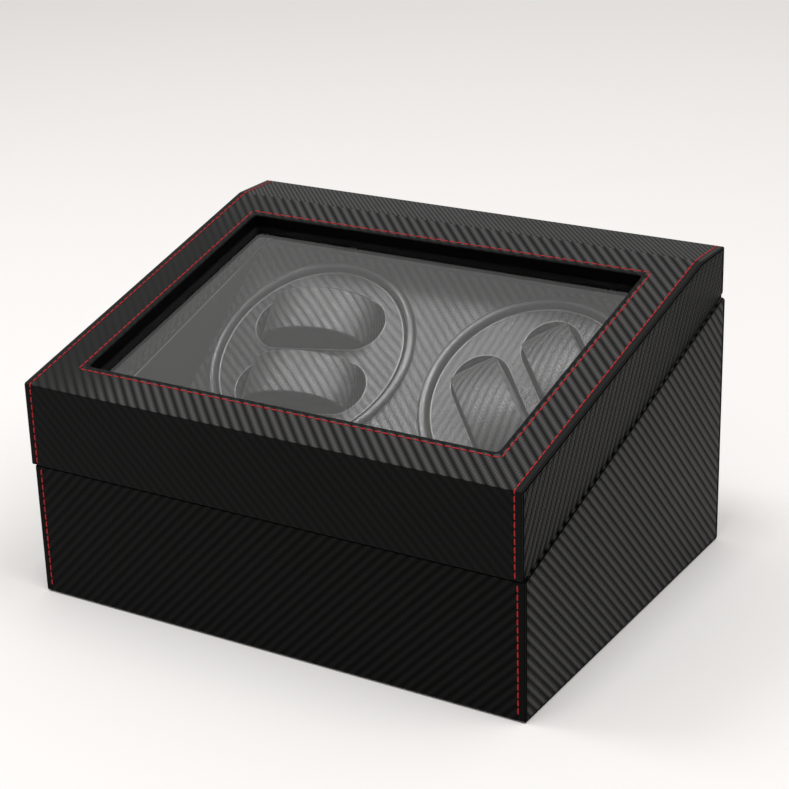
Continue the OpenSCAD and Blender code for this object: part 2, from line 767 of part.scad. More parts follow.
module mode_knob(x) color(gloss) on_tub(x) {
    low = tub_t + 0.5;
    difference() {
        hole(knob_r, low, low + knob_l);
        for (i = [0:11]) rotate([0, 0, 30 * i + 15]) translate([knob_r + 0.6, 0, 0])
            hole(1.2, low - 1, low + knob_l + 1);
    }
    translate([-0.6, 0, low + knob_l - eps]) cube([1.2, knob_r - 1, 0.6]);
    hole(stem_r, -switch_t + 1.5, low + eps);
}
module left_mode_knob() mode_knob(knob_places[0]);
module right_mode_knob() mode_knob(knob_places[1]);

module power_inlet() color(gloss) on_tub(control_x) {
    difference() {
        union() {
            translate([-inlet_w / 2, -inlet_w / 2, -switch_t]) cube([inlet_w, inlet_w, switch_t]);
            hole(inlet_r + 1.2, -eps, tub_t + 1);
        }
        hole(inlet_r, tub_t + 1 - inlet_depth, tub_t + 2);
    }
    hole(inlet_pin_r, tub_t + 1 - inlet_depth - eps, tub_t);
}

module circuit_board() color("darkgreen") {
    w = control_w - 2 * circuit_inset;
    h = control_h - 2 * circuit_inset;
    x = chip_w / 2 + 3 * capacitor_r;
    translate([control_x, circuit_y - circuit_t, control_z]) {
        translate([-w / 2, 0, -h / 2]) cube([w, circuit_t, h]);
        translate([-chip_w / 2, -circuit_t, -chip_w / 3]) cube([chip_w, circuit_t + eps, chip_w * 2 / 3]);
        for (side = [-1, 1]) translate([side * x, eps, 0]) rotate([90, 0, 0])
            cylinder(r = capacitor_r, h = capacitor_l);
    }
}

// a round tube of eight sides along the points of a path
module tube(path, r) {
    last = len(path) - 1;
    sides = 8;
    function along(i) = unit(path[min(i + 1, last)] - path[max(i - 1, 0)]);
    rings = [for (i = [0:last])
        let (t = along(i), side = unit(cross(t, [0.3, 0.2, 1])), up = cross(side, t))
        for (k = [0:sides - 1]) path[i] + r * (side * cos(k * 45) + up * sin(k * 45))];
    polyhedron(points = rings, faces = concat(
        [[for (k = [0:sides - 1]) k]],
        [[for (k = [0:sides - 1]) last * sides + sides - 1 - k]],
        [for (i = [0:last - 1], k = [0:sides - 1])
            let (a = i * sides + k, b = i * sides + (k + 1) % sides)
            [a, a + sides, b + sides, b]]));
}
// points of a smooth curve through a list of points
function smooth(p, steps) = [for (i = [0:len(p) - 2], k = [0:steps - 1])
    let (a = p[max(i - 1, 0)], b = p[i], c = p[i + 1], d = p[min(i + 2, len(p) - 1)], t = k / steps)
    ((2 * b) + (c - a) * t + (2 * a - 5 * b + 4 * c - d) * t * t
        + (3 * b - a - 3 * c + d) * t * t * t) / 2, ];

// a point on the leads, l below the motor's end cap
function lead(x, l) = let (depth = plate_end + gearbox_l + motor_l + cap_h + l)
    [x, table_y + depth * sin(panel_tilt), table_z - depth * cos(panel_tilt)];

// one pair of wires to each motor, along the floor behind it; all bends are in wire radii
module wiring() color("firebrick") {
    r = wire_r;
    run_z = floor_top + 3 * r;
    start_z = control_z - control_h / 2 + 5 * r;
    board_y = circuit_y - circuit_t;
    for (run = [[motor_x, 5 * r], [-motor_x, 2 * r]])
        let (x = run[0], from = [control_x - control_w / 2 + 3 * r + run[1], board_y - eps, start_z],
             run_y = board_y - 7 * r + run[1])
        tube(concat([from], smooth([
            from + [0, -r, 0], from + [0, -3 * r, 0], [from[0] - 3 * r, run_y, start_z - 5 * r],
            [from[0] - 12 * r, run_y, run_z], [x + 10 * r, run_y, run_z],
            [x + 2 * r, run_y + 2 * r, run_z + r], lead(x, 3 * r), lead(x, r)], 4),
            [lead(x, r), lead(x, eps)]), r);
}

// ---- hinges ----

// height of a line that runs along the split at the distance off it, seen from the hinge
function by_split(y, off) = y * tan(split_angle) + off / cos(split_angle);
// a leaf from its barrel through the split to the inside of the back, and its flap there
module leaf(side) {
    start = leaf_t - barrel_r;
    flat = half_d - wall_t - hinge_y;
    near = side * half_gap;
    away = side * (half_gap + leaf_t);
    across(-hinge_l / 2, hinge_l / 2) polygon([
        [start, by_split(start, near)], [start, by_split(start, away)],
        [flat, by_split(flat, away)], [flat, side * flap_reach],
        [flat - leaf_t, side * flap_reach], [flat - leaf_t, by_split(flat - leaf_t, near)]]);
}
third = hinge_l / 3;
flap_screw = (flap_reach + barrel_r + fit) / 2;
base_knuckles = [[-hinge_l / 2, -third / 2 - knuckle_gap], [third / 2 + knuckle_gap, hinge_l / 2]];
lid_knuckles = [[-third / 2, third / 2]];

module hinge_leaves(side) color("silver") at_hinges() difference() {
    own = side > 0 ? lid_knuckles : base_knuckles;
    other = side > 0 ? base_knuckles : lid_knuckles;
    union() {
        leaf(side);
        for (s = own) rod(barrel_r, s[0], s[1]);
    }
    rod(pin_r + shaft_gap, -hinge_l, hinge_l);
    for (s = other) rod(barrel_r + fit, s[0] - knuckle_gap, s[1] + knuckle_gap);
    for (end = [-1, 1]) translate([end * third, 0, side * flap_screw]) rotate([90, 0, 0])
        cylinder(r = screw_r + fit, h = 2 * wall_t);
}
module base_hinge_leaves() hinge_leaves(-1);
module lid_hinge_leaves() hinge_leaves(1);

module hinge_pins() color("silver") at_hinges() rod(pin_r, -hinge_l / 2, hinge_l / 2);

// room for the flat of a leaf in the edge of the back board
module leaf_recess() at_hinges() rotate([split_angle, 0, 0]) {
    depth = half_gap + leaf_t + fit / 2;
    translate([-hinge_l / 2 - 2 * fit, -2 * wall_t, -depth])
        cube([hinge_l + 4 * fit, 3 * wall_t, 2 * depth]);
}

// z runs from the back board's inside into the case
module on_flap(side) at_hinges() for (end = [-1, 1])
    translate([end * third, hinge_inset - wall_t, side * flap_screw]) rotate([90, 0, 0]) children();
module hinge_screw_holes(side) on_flap(side) hole(screw_r + shaft_gap, -board_t + 1, 1);

module base_screws() color(steel) {
    on_panel(0) {
        for (p = post_places) translate(p) {
            translate([0, 0, -plate_end]) mirror([0, 0, 1]) screw(plate_t + screw_bite);
            translate([0, 0, -panel_t + panel_web]) screw(panel_web + screw_bite);
        }
        for (side = [-1, 1], end = [-1, 1]) translate([side * motor_x, end * motor_screw, -plate_top])
            screw(plate_t + screw_bite);
    }
    on_flap(-1) translate([0, 0, leaf_t]) screw(leaf_t + board_t - 2);
}

// ---- lid ----

module lid_front_board() color(fibreboard) translate([lid_x, 0, 0])
    across(-lid_half + cover_t, lid_half - cover_t) {
        y0 = -half_d + cover_t;
        y1 = -half_d + wall_t;
        polygon([[y0, split_z(y0) + half_gap + cover_t], [y1, split_z(y1) + half_gap + cover_t],
                 roof_corner(y1, wall_t), roof_corner(y0, wall_t)]);
    }

module lid_back_board() color(fibreboard) difference() {
    translate([lid_x, 0, 0]) across(-lid_half + cover_t, lid_half - cover_t) {
        y0 = half_d - wall_t;
        y1 = half_d - cover_t;
        polygon([[y0, split_z(y0) + half_gap], [y1, split_z(y1) + half_gap],
                 roof_corner(y1, wall_t), roof_corner(y0, wall_t)]);
    }
    hinge_room();
    leaf_recess();
    hinge_screw_holes(1);
}

module lid_side_boards() color(fibreboard) translate([lid_x, 0, 0]) both_sides()
    across(lid_half - wall_t, lid_half - cover_t) {
        y = half_d - wall_t;
        polygon([[-y, split_z(-y) + half_gap + cover_t], [y, split_z(y) + half_gap + cover_t],
                 roof_corner(y, wall_t), bend(wall_t), roof_corner(-y, wall_t)]);
    }

// the sloping board with the window in it and the flat strip behind
module lid_top_board() color(fibreboard) difference() {
    translate([lid_x, 0, 0]) across(-lid_half + cover_t, lid_half - cover_t) {
        y = half_d - cover_t;
        polygon(concat(
            [roof_corner(-y, wall_t), roof_corner(-y, cover_t)],
            arc_corner(roof_corner(-y, cover_t), bend(cover_t), roof_corner(y, cover_t), bend_r - cover_t, 8),
            [roof_corner(y, cover_t), roof_corner(y, wall_t), bend(wall_t)]));
    }
    window_hole(reveal_t);
    on_roof() retainer_screw_places()
        hole(screw_r + shaft_gap, -reveal_depth - 1, -reveal_depth + screw_bite);
}

// the strip turned in under the front board
module lid_front_fold() translate([lid_x, 0, 0]) across(-lid_half + cover_t, lid_half - cover_t) {
    rim = -half_d + wall_t;
    polygon([[-half_d, split_z(-half_d) + half_gap], [rim, split_z(rim) + half_gap],
             [rim, split_z(rim) + half_gap + cover_t], [-half_d, split_z(-half_d) + half_gap + cover_t]]);
}
// one strip up the front, over the slope and the flat and down the back
module lid_cover() color(leather) difference() {
    union() {
        lid_front_fold();
        translate([lid_x, 0, 0]) across(-lid_half, lid_half) {
            in = half_d - cover_t;
            foot = [-half_d, split_z(-half_d) + half_gap];
            tail = [half_d, split_z(half_d) + half_gap];
            front = roof_corner(-half_d, 0);
            back = roof_corner(half_d, 0);
            inner_back = roof_corner(in, cover_t);
            inner_front = roof_corner(-in, cover_t);
            polygon(concat(
                [foot],
                arc_corner(foot, front, bend(0), fold_r, 4),
                arc_corner(front, bend(0), back, bend_r, 8),
                arc_corner(bend(0), back, tail, fold_r, 4),
                [tail, [in, split_z(in) + half_gap], inner_back],
                arc_corner(inner_back, bend(cover_t), inner_front, bend_r - cover_t, 8),
                [inner_front, [-in, split_z(-in) + half_gap]]));
        }
    }
    window_hole(0);
    hinge_room();
}

module lid_side_panel(side) color(leather) difference() {
    translate([lid_x, 0, 0]) scale([side, 1, 1]) {
        inset = cover_t + groove_w;
        y = half_d - inset;
        rim_y = half_d - wall_t;
        across(lid_half - cover_t, lid_half) polygon(concat(
            [[-y, split_z(-y) + half_gap], [y, split_z(y) + half_gap], roof_corner(y, inset)],
            arc_corner(roof_corner(y, inset), bend(inset), roof_corner(-y, inset), bend_r - inset, 8),
            [roof_corner(-y, inset)]));
        across(lid_half - wall_t, lid_half - cover_t) polygon([
            [-rim_y, split_z(-rim_y) + half_gap], [rim_y, split_z(rim_y) + half_gap],
            [rim_y, split_z(rim_y) + half_gap + cover_t], [-rim_y, split_z(-rim_y) + half_gap + cover_t]]);
    }
    hinge_room();
}
module lid_left_panel() lid_side_panel(-1);
module lid_right_panel() lid_side_panel(1);

module window_reveal() color(gloss) on_roof()
    ring(window_w + 2 * reveal_t, window_l + 2 * reveal_t, window_w, window_l,
         window_r, cover_t, reveal_depth - cover_t);

module window_spacer() color(gloss) on_roof() difference() {
    ring(window_w + 2 * frame_lap, window_l + 2 * frame_lap,
         window_w - 2 * spacer_step, window_l - 2 * spacer_step, window_r, reveal_depth, spacer_t);
    retainer_screw_places() hole(screw_r + shaft_gap, -spacer_depth - 1, 0);
}

module window_pane() color([0.8, 0.85, 0.9, 0.3]) on_roof()
    translate([0, window_front + window_l / 2, -pane_depth]) linear_extrude(pane_t)
        polygon(rounded_box(window_w + 2 * pane_lap, window_l + 2 * pane_lap, window_r));

module pane_retainer() color(velvet) on_roof() difference() {
    ring(window_w + 2 * frame_lap, window_l + 2 * frame_lap, window_w, window_l,
         window_r, spacer_depth, pane_t + retainer_t);
    rebate = 2 * (pane_lap + pane_clear);
    translate([0, window_front + window_l / 2, -pane_depth]) linear_extrude(pane_t + 1)
        polygon(rounded_box(window_w + rebate, window_l + rebate, window_r));
    retainer_screw_places() hole(screw_r + shaft_gap, -retainer_depth - 1, 0);
}

// screws in the retainer, outside the pane's rebate
module retainer_screw_places() {
    off = (pane_lap + pane_clear + frame_lap) / 2;
    mid = window_front + window_l / 2;
    for (side = [-1, 1]) {
        for (k = [-1, 0, 1]) translate([side * (window_w / 2 + off), mid + k * window_l / 2.4, 0]) children();
        for (k = [-1, 1]) translate([k * window_w / 4, mid + side * (window_l / 2 + off), 0]) children();
    }
}

module lid_screws() color(steel) {
    on_roof() retainer_screw_places() translate([0, 0, -retainer_depth]) mirror([0, 0, 1])
        screw(retainer_depth - reveal_depth + screw_bite - 1);
    on_flap(1) translate([0, 0, leaf_t]) screw(leaf_t + board_t - 2);
}

module lid_stitching() color(thread) {
    start = split_z(-half_d) + half_gap + stitch_end;
    finish = split_z(half_d) + half_gap + stitch_end + hinge_inset * tan(groove_up);
    out = -stitch_h;
    front = roof_corner(-half_d, 0);
    back = roof_corner(half_d, 0);
    front_out = [-half_d + out, front_h + out * tan(roof_angle) - out / cos(roof_angle)];
    back_out = [half_d - out, rear_h - out];
    for (side = [-1, 1]) {
        x = lid_x + side * (lid_half - stitch_edge);
        across(x - stitch_w / 2, x + stitch_w / 2) polygon(concat(
            [[-half_d, start], [-half_d + out, start]],
            arc_corner([-half_d + out, start], front_out, bend(out), fold_r - out, 4),
            arc_corner(front_out, bend(out), back_out, bend_r - out, 8),
            arc_corner(bend(out), back_out, [half_d - out, finish], fold_r - out, 4),
            [[half_d - out, finish], [half_d, finish]],
            arc_corner([half_d, finish], back, bend(0), fold_r, 4),
            arc_corner(back, bend(0), front, bend_r, 8),
            arc_corner(bend(0), front, [-half_d, start], fold_r, 4)));
    }
    far_w = window_w + 2 * stitch_window;
    far_l = window_l + 2 * stitch_window;
    on_roof() ring(far_w + stitch_w, far_l + stitch_w, far_w - stitch_w, far_l - stitch_w,
                   window_r, out, stitch_h);
}

bottom_felt();
floor_board();
front_board();
back_board();
base_side_boards();
base_cover();
base_left_panel();
base_right_panel();
base_stitching();
side_liners();
front_liner();
well_lining();
battens();
turntable_panel();
rear_shelf();
left_bezel();
right_bezel();
drive_plate();
drive_posts();
left_spindle();
right_spindle();
left_gear_motor();
right_gear_motor();
control_tub();
power_inlet();
circuit_board();
rotary_switches();
wiring();
base_hinge_leaves();
hinge_pins();
base_screws();
left_disc();
left_cups();
left_gear();
right_disc();
right_cups();
right_gear();
left_upper_cushion();
left_lower_cushion();
right_upper_cushion();
right_lower_cushion();
left_pinion();
right_pinion();
left_mode_knob();
right_mode_knob();
lid_front_board();
lid_back_board();
lid_side_boards();
lid_top_board();
lid_cover();
lid_left_panel();
lid_right_panel();
window_reveal();
window_spacer();
window_pane();
pane_retainer();
lid_hinge_leaves();
lid_screws();
lid_stitching();
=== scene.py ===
# watch winder box: x runs to the right, y to the back and z up, in mm unless a note says otherwise

import bpy
import numpy as np
import bmesh
from math import radians, sin, cos, tan, pi
from mathutils import Matrix, Vector


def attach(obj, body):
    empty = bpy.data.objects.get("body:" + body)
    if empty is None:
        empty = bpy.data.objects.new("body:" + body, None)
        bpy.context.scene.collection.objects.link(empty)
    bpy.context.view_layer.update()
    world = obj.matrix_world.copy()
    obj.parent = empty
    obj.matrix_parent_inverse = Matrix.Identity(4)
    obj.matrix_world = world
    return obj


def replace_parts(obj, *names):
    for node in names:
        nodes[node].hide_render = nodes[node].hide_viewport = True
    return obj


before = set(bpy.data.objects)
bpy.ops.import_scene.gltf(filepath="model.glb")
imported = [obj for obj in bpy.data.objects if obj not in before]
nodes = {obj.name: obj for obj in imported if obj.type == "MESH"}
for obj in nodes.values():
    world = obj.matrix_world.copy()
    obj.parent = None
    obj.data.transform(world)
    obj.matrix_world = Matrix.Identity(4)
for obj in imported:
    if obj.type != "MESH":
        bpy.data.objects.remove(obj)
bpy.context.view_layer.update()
mm = 0.001              # m


# camera

viewpoint = {
    "place": (0.638681, -1.012822, 0.594778),       # m
    "right": (0.854553, 0.518649, -0.027245),
    "up": (-0.170850, 0.330266, 0.928297),
    "back": (0.490458, -0.788624, 0.370841),
    "lens": 94.94,          # mm, on a 36 mm wide sensor
}


def setCamera(v):
    # right, up and back are the camera's own axes in the frame
    data = bpy.data.cameras.new("camera")
    data.sensor_width, data.lens = 36, v["lens"]
    data.clip_start, data.clip_end = 0.05, 30
    camera = bpy.data.objects.new("camera", data)
    bpy.context.scene.collection.objects.link(camera)
    turn = Matrix((v["right"], v["up"], v["back"])).transposed().to_4x4()
    camera.matrix_world = Matrix.Translation(v["place"]) @ turn
    bpy.context.scene.camera = camera


setCamera(viewpoint)
print("camera set")


# material helpers

class Nodes:
    # a material's node tree, with short calls for the nodes used here
    def __init__(self, name):
        self.material = bpy.data.materials.new(name)
        self.material.use_nodes = True
        self.tree = self.material.node_tree
        self.shader = self.tree.nodes["Principled BSDF"]

    def add(self, kind, **values):
        node = self.tree.nodes.new("ShaderNode" + kind)
        for key, value in values.items():
            setattr(node, key, value)
        return node

    def link(self, a, b):
        self.tree.links.new(a, b)

    def put(self, socket, value):
        if hasattr(value, "is_output"):
            self.link(value, socket)
        else:
            socket.default_value = value

    def math(self, operation, a, b=0.0, c=None):
        node = self.add("Math", operation=operation)
        self.put(node.inputs[0], a)
        self.put(node.inputs[1], b)
        if c is not None:
            self.put(node.inputs[2], c)
        return node.outputs[0]

    def plus(self, a, b):
        return self.math("ADD", a, b)

    def less(self, a, b):
        return self.math("SUBTRACT", a, b)

    def times(self, a, b):
        return self.math("MULTIPLY", a, b)

    def timesPlus(self, a, b, c):
        return self.math("MULTIPLY_ADD", a, b, c)

    def set(self, **values):
        # inputs of the shader, with low lines in place of the spaces in their names
        for key, value in values.items():
            self.put(self.shader.inputs[key.replace("_", " ")], value)

    def coords(self, kind="Object", turn=(0, 0, 0), scale=(1, 1, 1)):
        return self.mapped(self.add("TexCoord").outputs[kind], turn, scale)

    def mapped(self, vector, turn, scale):
        mapping = self.add("Mapping")
        mapping.inputs["Rotation"].default_value = turn
        mapping.inputs["Scale"].default_value = scale
        self.link(vector, mapping.inputs["Vector"])
        return mapping.outputs[0]

    def parts(self, vector):
        split = self.add("SeparateXYZ")
        self.link(vector, split.inputs[0])
        return split.outputs

    def noise(self, vector, scale, detail=2.0, rough=0.5):
        node = self.add("TexNoise")
        for key, value in (("Vector", vector), ("Scale", scale), ("Detail", detail), ("Roughness", rough)):
            self.put(node.inputs[key], value)
        return node.outputs["Fac"]

    def ramp(self, value, *stops):
        # a colour that blends from stop to stop as value goes from 0 to 1
        node = self.add("ValToRGB")
        self.link(value, node.inputs[0])
        band = node.color_ramp
        while len(band.elements) < len(stops):
            band.elements.new(0.5)
        for element, (place, colour) in zip(band.elements, stops):
            element.position = place
            element.color = (*colour, 1) if len(colour) == 3 else colour
        return node.outputs[0]

    def spread(self, value, start, end, low, high, kind="LINEAR"):
        # low to high while value goes from start to end
        node = self.add("MapRange", interpolation_type=kind)
        for key, number in (("Value", value), ("From Min", start), ("From Max", end),
                            ("To Min", low), ("To Max", high)):
            self.put(node.inputs[key], number)
        return node.outputs[0]

    def span(self, value, low, high):
        return self.spread(value, 0.0, 1.0, low, high)

    def eased(self, value, start, end, before, after):
        # a smooth step, with start and end in mm
        return self.spread(value, start * mm, end * mm, before, after, "SMOOTHSTEP")

    def bump(self, height):
        node = self.add("Bump")
        for key, value in (("Distance", 1.0), ("Strength", 1.0), ("Height", height)):
            self.put(node.inputs[key], value)
        return node.outputs[0]


# leatherette

leatherLook = {
    # ribColour is the colour on a rib's crest and valleyColour in its valleys: the leather's own black with
    # painted sheen on the crests and painted shade in the valleys
    "ribColour": 0.037, "valleyColour": 0.001, "shine": 0.04, "rough": 0.36,
    "tow": 1.875,           # mm, width of one embossed strand; four tows make one diagonal rib
    "rib": 0.36,            # mm, how far the diagonal ribs stand out
    "strand": 0.10,         # mm, how far single strands stand out
    "grain": 0.012,         # mm, height of the fine grain
    "unevenness": 0.35,     # mm, height of the slow waves
    "crown": 2.0,           # how sharply the colour gathers on a rib's crest
    "kind": "UV",           # the coordinates that the weave follows
    "turn": 0.0,            # turn about the case's width before the weave is laid, Object only
    "axes": (0, 1),         # the two axes that the weave lies on, Object only
    "plainBeyond": 0.0,     # mm from the middle line to the plain border, 0 for none
    "plainLevel": 0.62,     # height of the plain border, as a share of a rib's
    "borderWide": 4.5,      # mm, from the plain border's start to the edge
    "edgeShadeBand": (0.9, 0.4),  # mm from the edge: where the painted shade of the groove starts and where it is full
    "smooth": None,         # x, s, near and far in mm: round this point the weave eases flat, plainer and darker
    "smoothShare": 0.1,         # share of the weave's height left there
    "dim": None,            # painted shade: start and end in mm along the panel, and the share of colour left past the end
}


def weave(n, place):
    # a two over, two under weave: strand i of the warp lies on top of strand j of the weft
    # where (i + j) modulo 4 is under 2, so that the tops line up as diagonal ribs
    u, v = n.parts(place)[:2]
    cellU, cellV = n.math("FLOOR", u), n.math("FLOOR", v)
    inU, inV = n.less(u, cellU), n.less(v, cellV)
    step = n.math("FLOORED_MODULO", n.plus(cellU, cellV), 4.0)
    warp = n.math("LESS_THAN", step, 1.5)
    pick = lambda a, b: n.timesPlus(n.less(a, b), warp, b)
    # a strand is a dome across, 1 - 4 a squared, that swells along itself as 0.4 + 0.6 sine
    across = n.less(pick(inU, inV), 0.5)
    along = n.times(n.plus(n.math("FLOORED_MODULO", step, 2.0), pick(inV, inU)), 0.5 * pi)
    dome = n.timesPlus(n.times(across, across), -4.0, 1.0)
    dome = n.times(dome, n.timesPlus(n.math("SINE", along), 0.6, 0.4))
    # a rib is a rounded rod: 1 - (2 p - 1) squared, with p from 0 to 1 across it
    p = n.math("FLOORED_MODULO", n.timesPlus(n.plus(u, v), 0.25, 0.125), 1.0)
    side = n.timesPlus(p, 2.0, -1.0)
    rod = n.timesPlus(n.times(side, side), -1.0, 1.0)
    return rod, dome


def bordered(n, look, rod, dome):
    # past the border's line and round the smoothed point the weave eases to one level, plainer and darker
    # there; the third value is the share of colour left where the outermost edge is darkened to black, as
    # painted shade of the groove beside it
    spot = n.parts(n.coords("UV"))
    out, border = n.math("ABSOLUTE", spot[0]), look["plainBeyond"]
    edge = border + look["borderWide"]
    start, covered = look["edgeShadeBand"]
    keep = n.eased(out, border - 0.5, border + 0.5, 1.0, 0.0)
    if look["smooth"]:
        x, s, near, far = look["smooth"]
        aside = n.less(spot[0], x * mm)
        ahead = n.times(n.less(spot[1], s * mm), 0.5)
        away = n.math("SQRT", n.timesPlus(aside, aside, n.times(ahead, ahead)))
        keep = n.times(keep, n.eased(away, near, far, look["smoothShare"], 1.0))
    level = look["plainLevel"]
    rod, dome = (n.timesPlus(n.less(wave, level), keep, level) for wave in (rod, dome))
    return rod, dome, n.eased(out, edge - start, edge - covered, 1.0, 0.0)


def leatherette(name, angle, **own):
    # height: the strands, the ribs, a fine grain and slow waves; colour: ribs raised to a power, as painted
    # sheen on the crests and painted shade in the valleys
    look = {**leatherLook, **own}
    n = Nodes(name)
    turn, scale = (0, 0, radians(-angle - 45)), (1 / (look["tow"] * mm),) * 3
    if look["kind"] == "UV":
        place = n.coords("UV", turn, scale)
    else:
        solid = n.parts(n.coords("Object", (-look["turn"], 0, 0)))
        flat = n.add("CombineXYZ")
        for socket, axis in zip(flat.inputs, look["axes"]):
            n.link(solid[axis], socket)
        place = n.mapped(flat.outputs[0], turn, scale)
    (rod, dome), edgeShadeShare = weave(n, place), 1.0
    if look["plainBeyond"]:
        rod, dome, edgeShadeShare = bordered(n, look, rod, dome)
    thing = n.coords("Object")
    grain, large = n.noise(thing, 2600, 3, 0.6), n.noise(thing, 22, 2, 0.5)
    height = n.plus(n.times(dome, look["strand"] * mm), n.times(rod, look["rib"] * mm))
    height = n.plus(height, n.times(grain, look["grain"] * mm))
    height = n.plus(height, n.times(large, look["unevenness"] * mm))
    top, low = look["ribColour"], look["valleyColour"]
    # painted sheen and shade: lighter on the ribs' crests and the strands' tops, darker in the valleys
    shade = n.times(n.math("POWER", rod, look["crown"]), n.span(dome, 0.5, 1.0))
    # painted shade of the groove along the outermost edge
    shade = n.times(shade, edgeShadeShare)
    # painted shade: the colour fades along the panel from start to end
    if look["dim"]:
        start, end, left = look["dim"]
        shade = n.times(shade, n.eased(n.parts(n.coords("UV"))[0], start, end, 1.0, left))
    n.set(Base_Color=n.ramp(shade, (0.0, (low,) * 3), (0.9, (top * 1.02, top, top * 0.99))),
          Roughness=n.span(large, look["rough"] - 0.05, look["rough"] + 0.05), Normal=n.bump(height),
          Specular_IOR_Level=look["shine"])
    return n.material


# the outer faces are copies of one leatherette with colours set face by face as painted light and shade: the
# sides and the top lighter, the fronts darker
plainSide = leatherette("leatheretteSides", -46, rib=0.50, ribColour=0.054, crown=3.2, shine=0.02)
# painted shade: the darker colours of the fronts
shadedFrontLook = {"ribColour": 0.0085, "valleyColour": 0.0015, "shine": 0.03}
baseFront = leatherette("leatheretteBaseFront", 46, rib=0.30, plainBeyond=165.5, **shadedFrontLook)
lidTop = leatherette("leatheretteLidTop", -45, rib=0.34, plainBeyond=166, ribColour=0.070,
                     valleyColour=0.006, plainLevel=0.40, smooth=(-166, 165, 32, 85))
lidFront = leatherette("leatheretteLidFront", -45, rib=0.06, strand=0.06, plainBeyond=166,
                       **{**shadedFrontLook, "valleyColour": 0.0045})
lidRear = leatherette("leatheretteLidRear", -47, tow=0.94, rib=0.14, strand=0.06, plainBeyond=166,
                      ribColour=0.055)
# painted shade: the lid sides are darker than the base's sides and fade towards the rear
lidSide = leatherette("leatheretteLidSides", 59, tow=1.93, rib=0.16, strand=0.24, ribColour=0.036,
                      shine=0.02, dim=(-30, 120, 0.4))
lidRoll = leatherette("leatheretteWindowRoll", -45, rib=0.02, strand=0.04, ribColour=0.014,
                      valleyColour=0.008)
# a near-black copy for the side panels' outermost rings: painted shade of the groove beside them
sideRoll = leatherette("leatheretteSideRoll", -46, rib=0.02, strand=0.04, ribColour=0.003, shine=0.02)
panelTilt = radians(38.3)


def softBlack(name, colour, rough, sheen, fibre=0.05):
    # napped cloth: a short pile that scatters light at the edges
    n = Nodes(name)
    place = n.coords()
    pile = n.noise(place, 1900, 3, 0.7)
    patch = n.noise(place, 45, 2, 0.5)
    n.set(Base_Color=n.ramp(patch, (0.3, (colour * 0.8,) * 3), (0.7, (colour * 1.2,) * 3)),
          Roughness=rough, Normal=n.bump(n.times(pile, fibre * mm)),
          Sheen_Weight=sheen, Sheen_Roughness=0.45, Specular_IOR_Level=0.15)
    return n.material


def plastic(name, colour, rough, level=0.5, ripple=0.02):
    # moulded plastic: nearly even, with a faint orange-peel ripple and slow patches of gloss
    n = Nodes(name)
    place = n.coords()
    fine = n.noise(place, 900, 3, 0.6)
    wide = n.noise(place, 60, 2, 0.5)
    low = tuple(c * 0.9 for c in colour)
    n.set(Base_Color=n.ramp(wide, (0.3, low), (0.7, colour)),
          Roughness=n.span(wide, rough * 0.85, rough * 1.15),
          Normal=n.bump(n.times(fine, ripple * mm)), Specular_IOR_Level=level)
    return n.material


def metal(name, colour, rough, stretch=(1, 1, 1), depth=0.006):
    # brushed metal: noise squeezed along one axis into fine lines
    n = Nodes(name)
    place = n.coords(scale=stretch)
    lines = n.noise(place, 700, 4, 0.6)
    low = tuple(c * 0.82 for c in colour)
    n.set(Base_Color=n.ramp(lines, (0.3, low), (0.7, colour)), Metallic=1.0,
          Roughness=n.span(lines, rough * 0.8, rough * 1.2),
          Normal=n.bump(n.times(lines, depth * mm)))
    return n.material


def fibreboard(name):
    # blackened fibreboard, dark also as painted shade in the grooves where its edges show: short dark chips,
    # slightly raised
    n = Nodes(name)
    place = n.coords()
    chips = n.noise(place, 420, 5, 0.7)
    n.set(Base_Color=n.ramp(chips, (0.3, (0.016, 0.013, 0.010)), (0.7, (0.036, 0.030, 0.024))),
          Roughness=0.85, Normal=n.bump(n.times(chips, 0.08 * mm)))
    return n.material


def threadRed(name):
    # waxed thread: bands that run slantwise round it, as its strands do
    n = Nodes(name)
    strands = n.add("TexWave", wave_type="BANDS", bands_direction="DIAGONAL")
    n.link(n.coords("UV"), strands.inputs["Vector"])
    strands.inputs["Scale"].default_value = 900
    n.set(Base_Color=n.ramp(strands.outputs["Fac"], (0.1, (0.20, 0.004, 0.006)), (0.8, (0.52, 0.012, 0.016))),
          Roughness=0.6, Normal=n.bump(n.times(strands.outputs["Fac"], 0.05 * mm)),
          Specular_IOR_Level=0.25)
    return n.material


def clearPane(name):
    # clear to the lamps, so that what lies under the pane is lit
    n = Nodes(name)
    tint = n.noise(n.coords(), 14, 2, 0.5)
    n.set(Base_Color=n.ramp(tint, (0.3, (0.985, 0.99, 0.99)), (0.7, (0.995, 0.995, 0.995))), Roughness=0.0,
          Transmission_Weight=1.0, IOR=1.5)
    clear = n.add("BsdfTransparent")
    clear.inputs[0].default_value = (0.92, 0.93, 0.93, 1)
    ray = n.add("LightPath")
    mix = n.add("MixShader")
    n.link(ray.outputs["Is Shadow Ray"], mix.inputs[0])
    n.link(n.shader.outputs[0], mix.inputs[1])
    n.link(clear.outputs[0], mix.inputs[2])
    out = n.tree.nodes["Material Output"]
    n.link(mix.outputs[0], out.inputs["Surface"])
    return n.material


# the inside's copies: lighter than the outside's, as painted light on the ribs, with softer painted shade in
# their valleys
inside = {"kind": "Object", "turn": panelTilt, "rib": 0.28, "ribColour": 0.070, "valleyColour": 0.014,
          "shine": 0.5}
panelLeather = leatherette("leatherettePanel", -42, **inside)
discLeather = {"left": leatherette("leatheretteLeftDisc", -34, **inside),
               "right": leatherette("leatheretteRightDisc", 80, **inside)}
cushionLeather = leatherette("leatheretteCushions", 45, ribColour=0.070, valleyColour=0.010, shine=0.5)
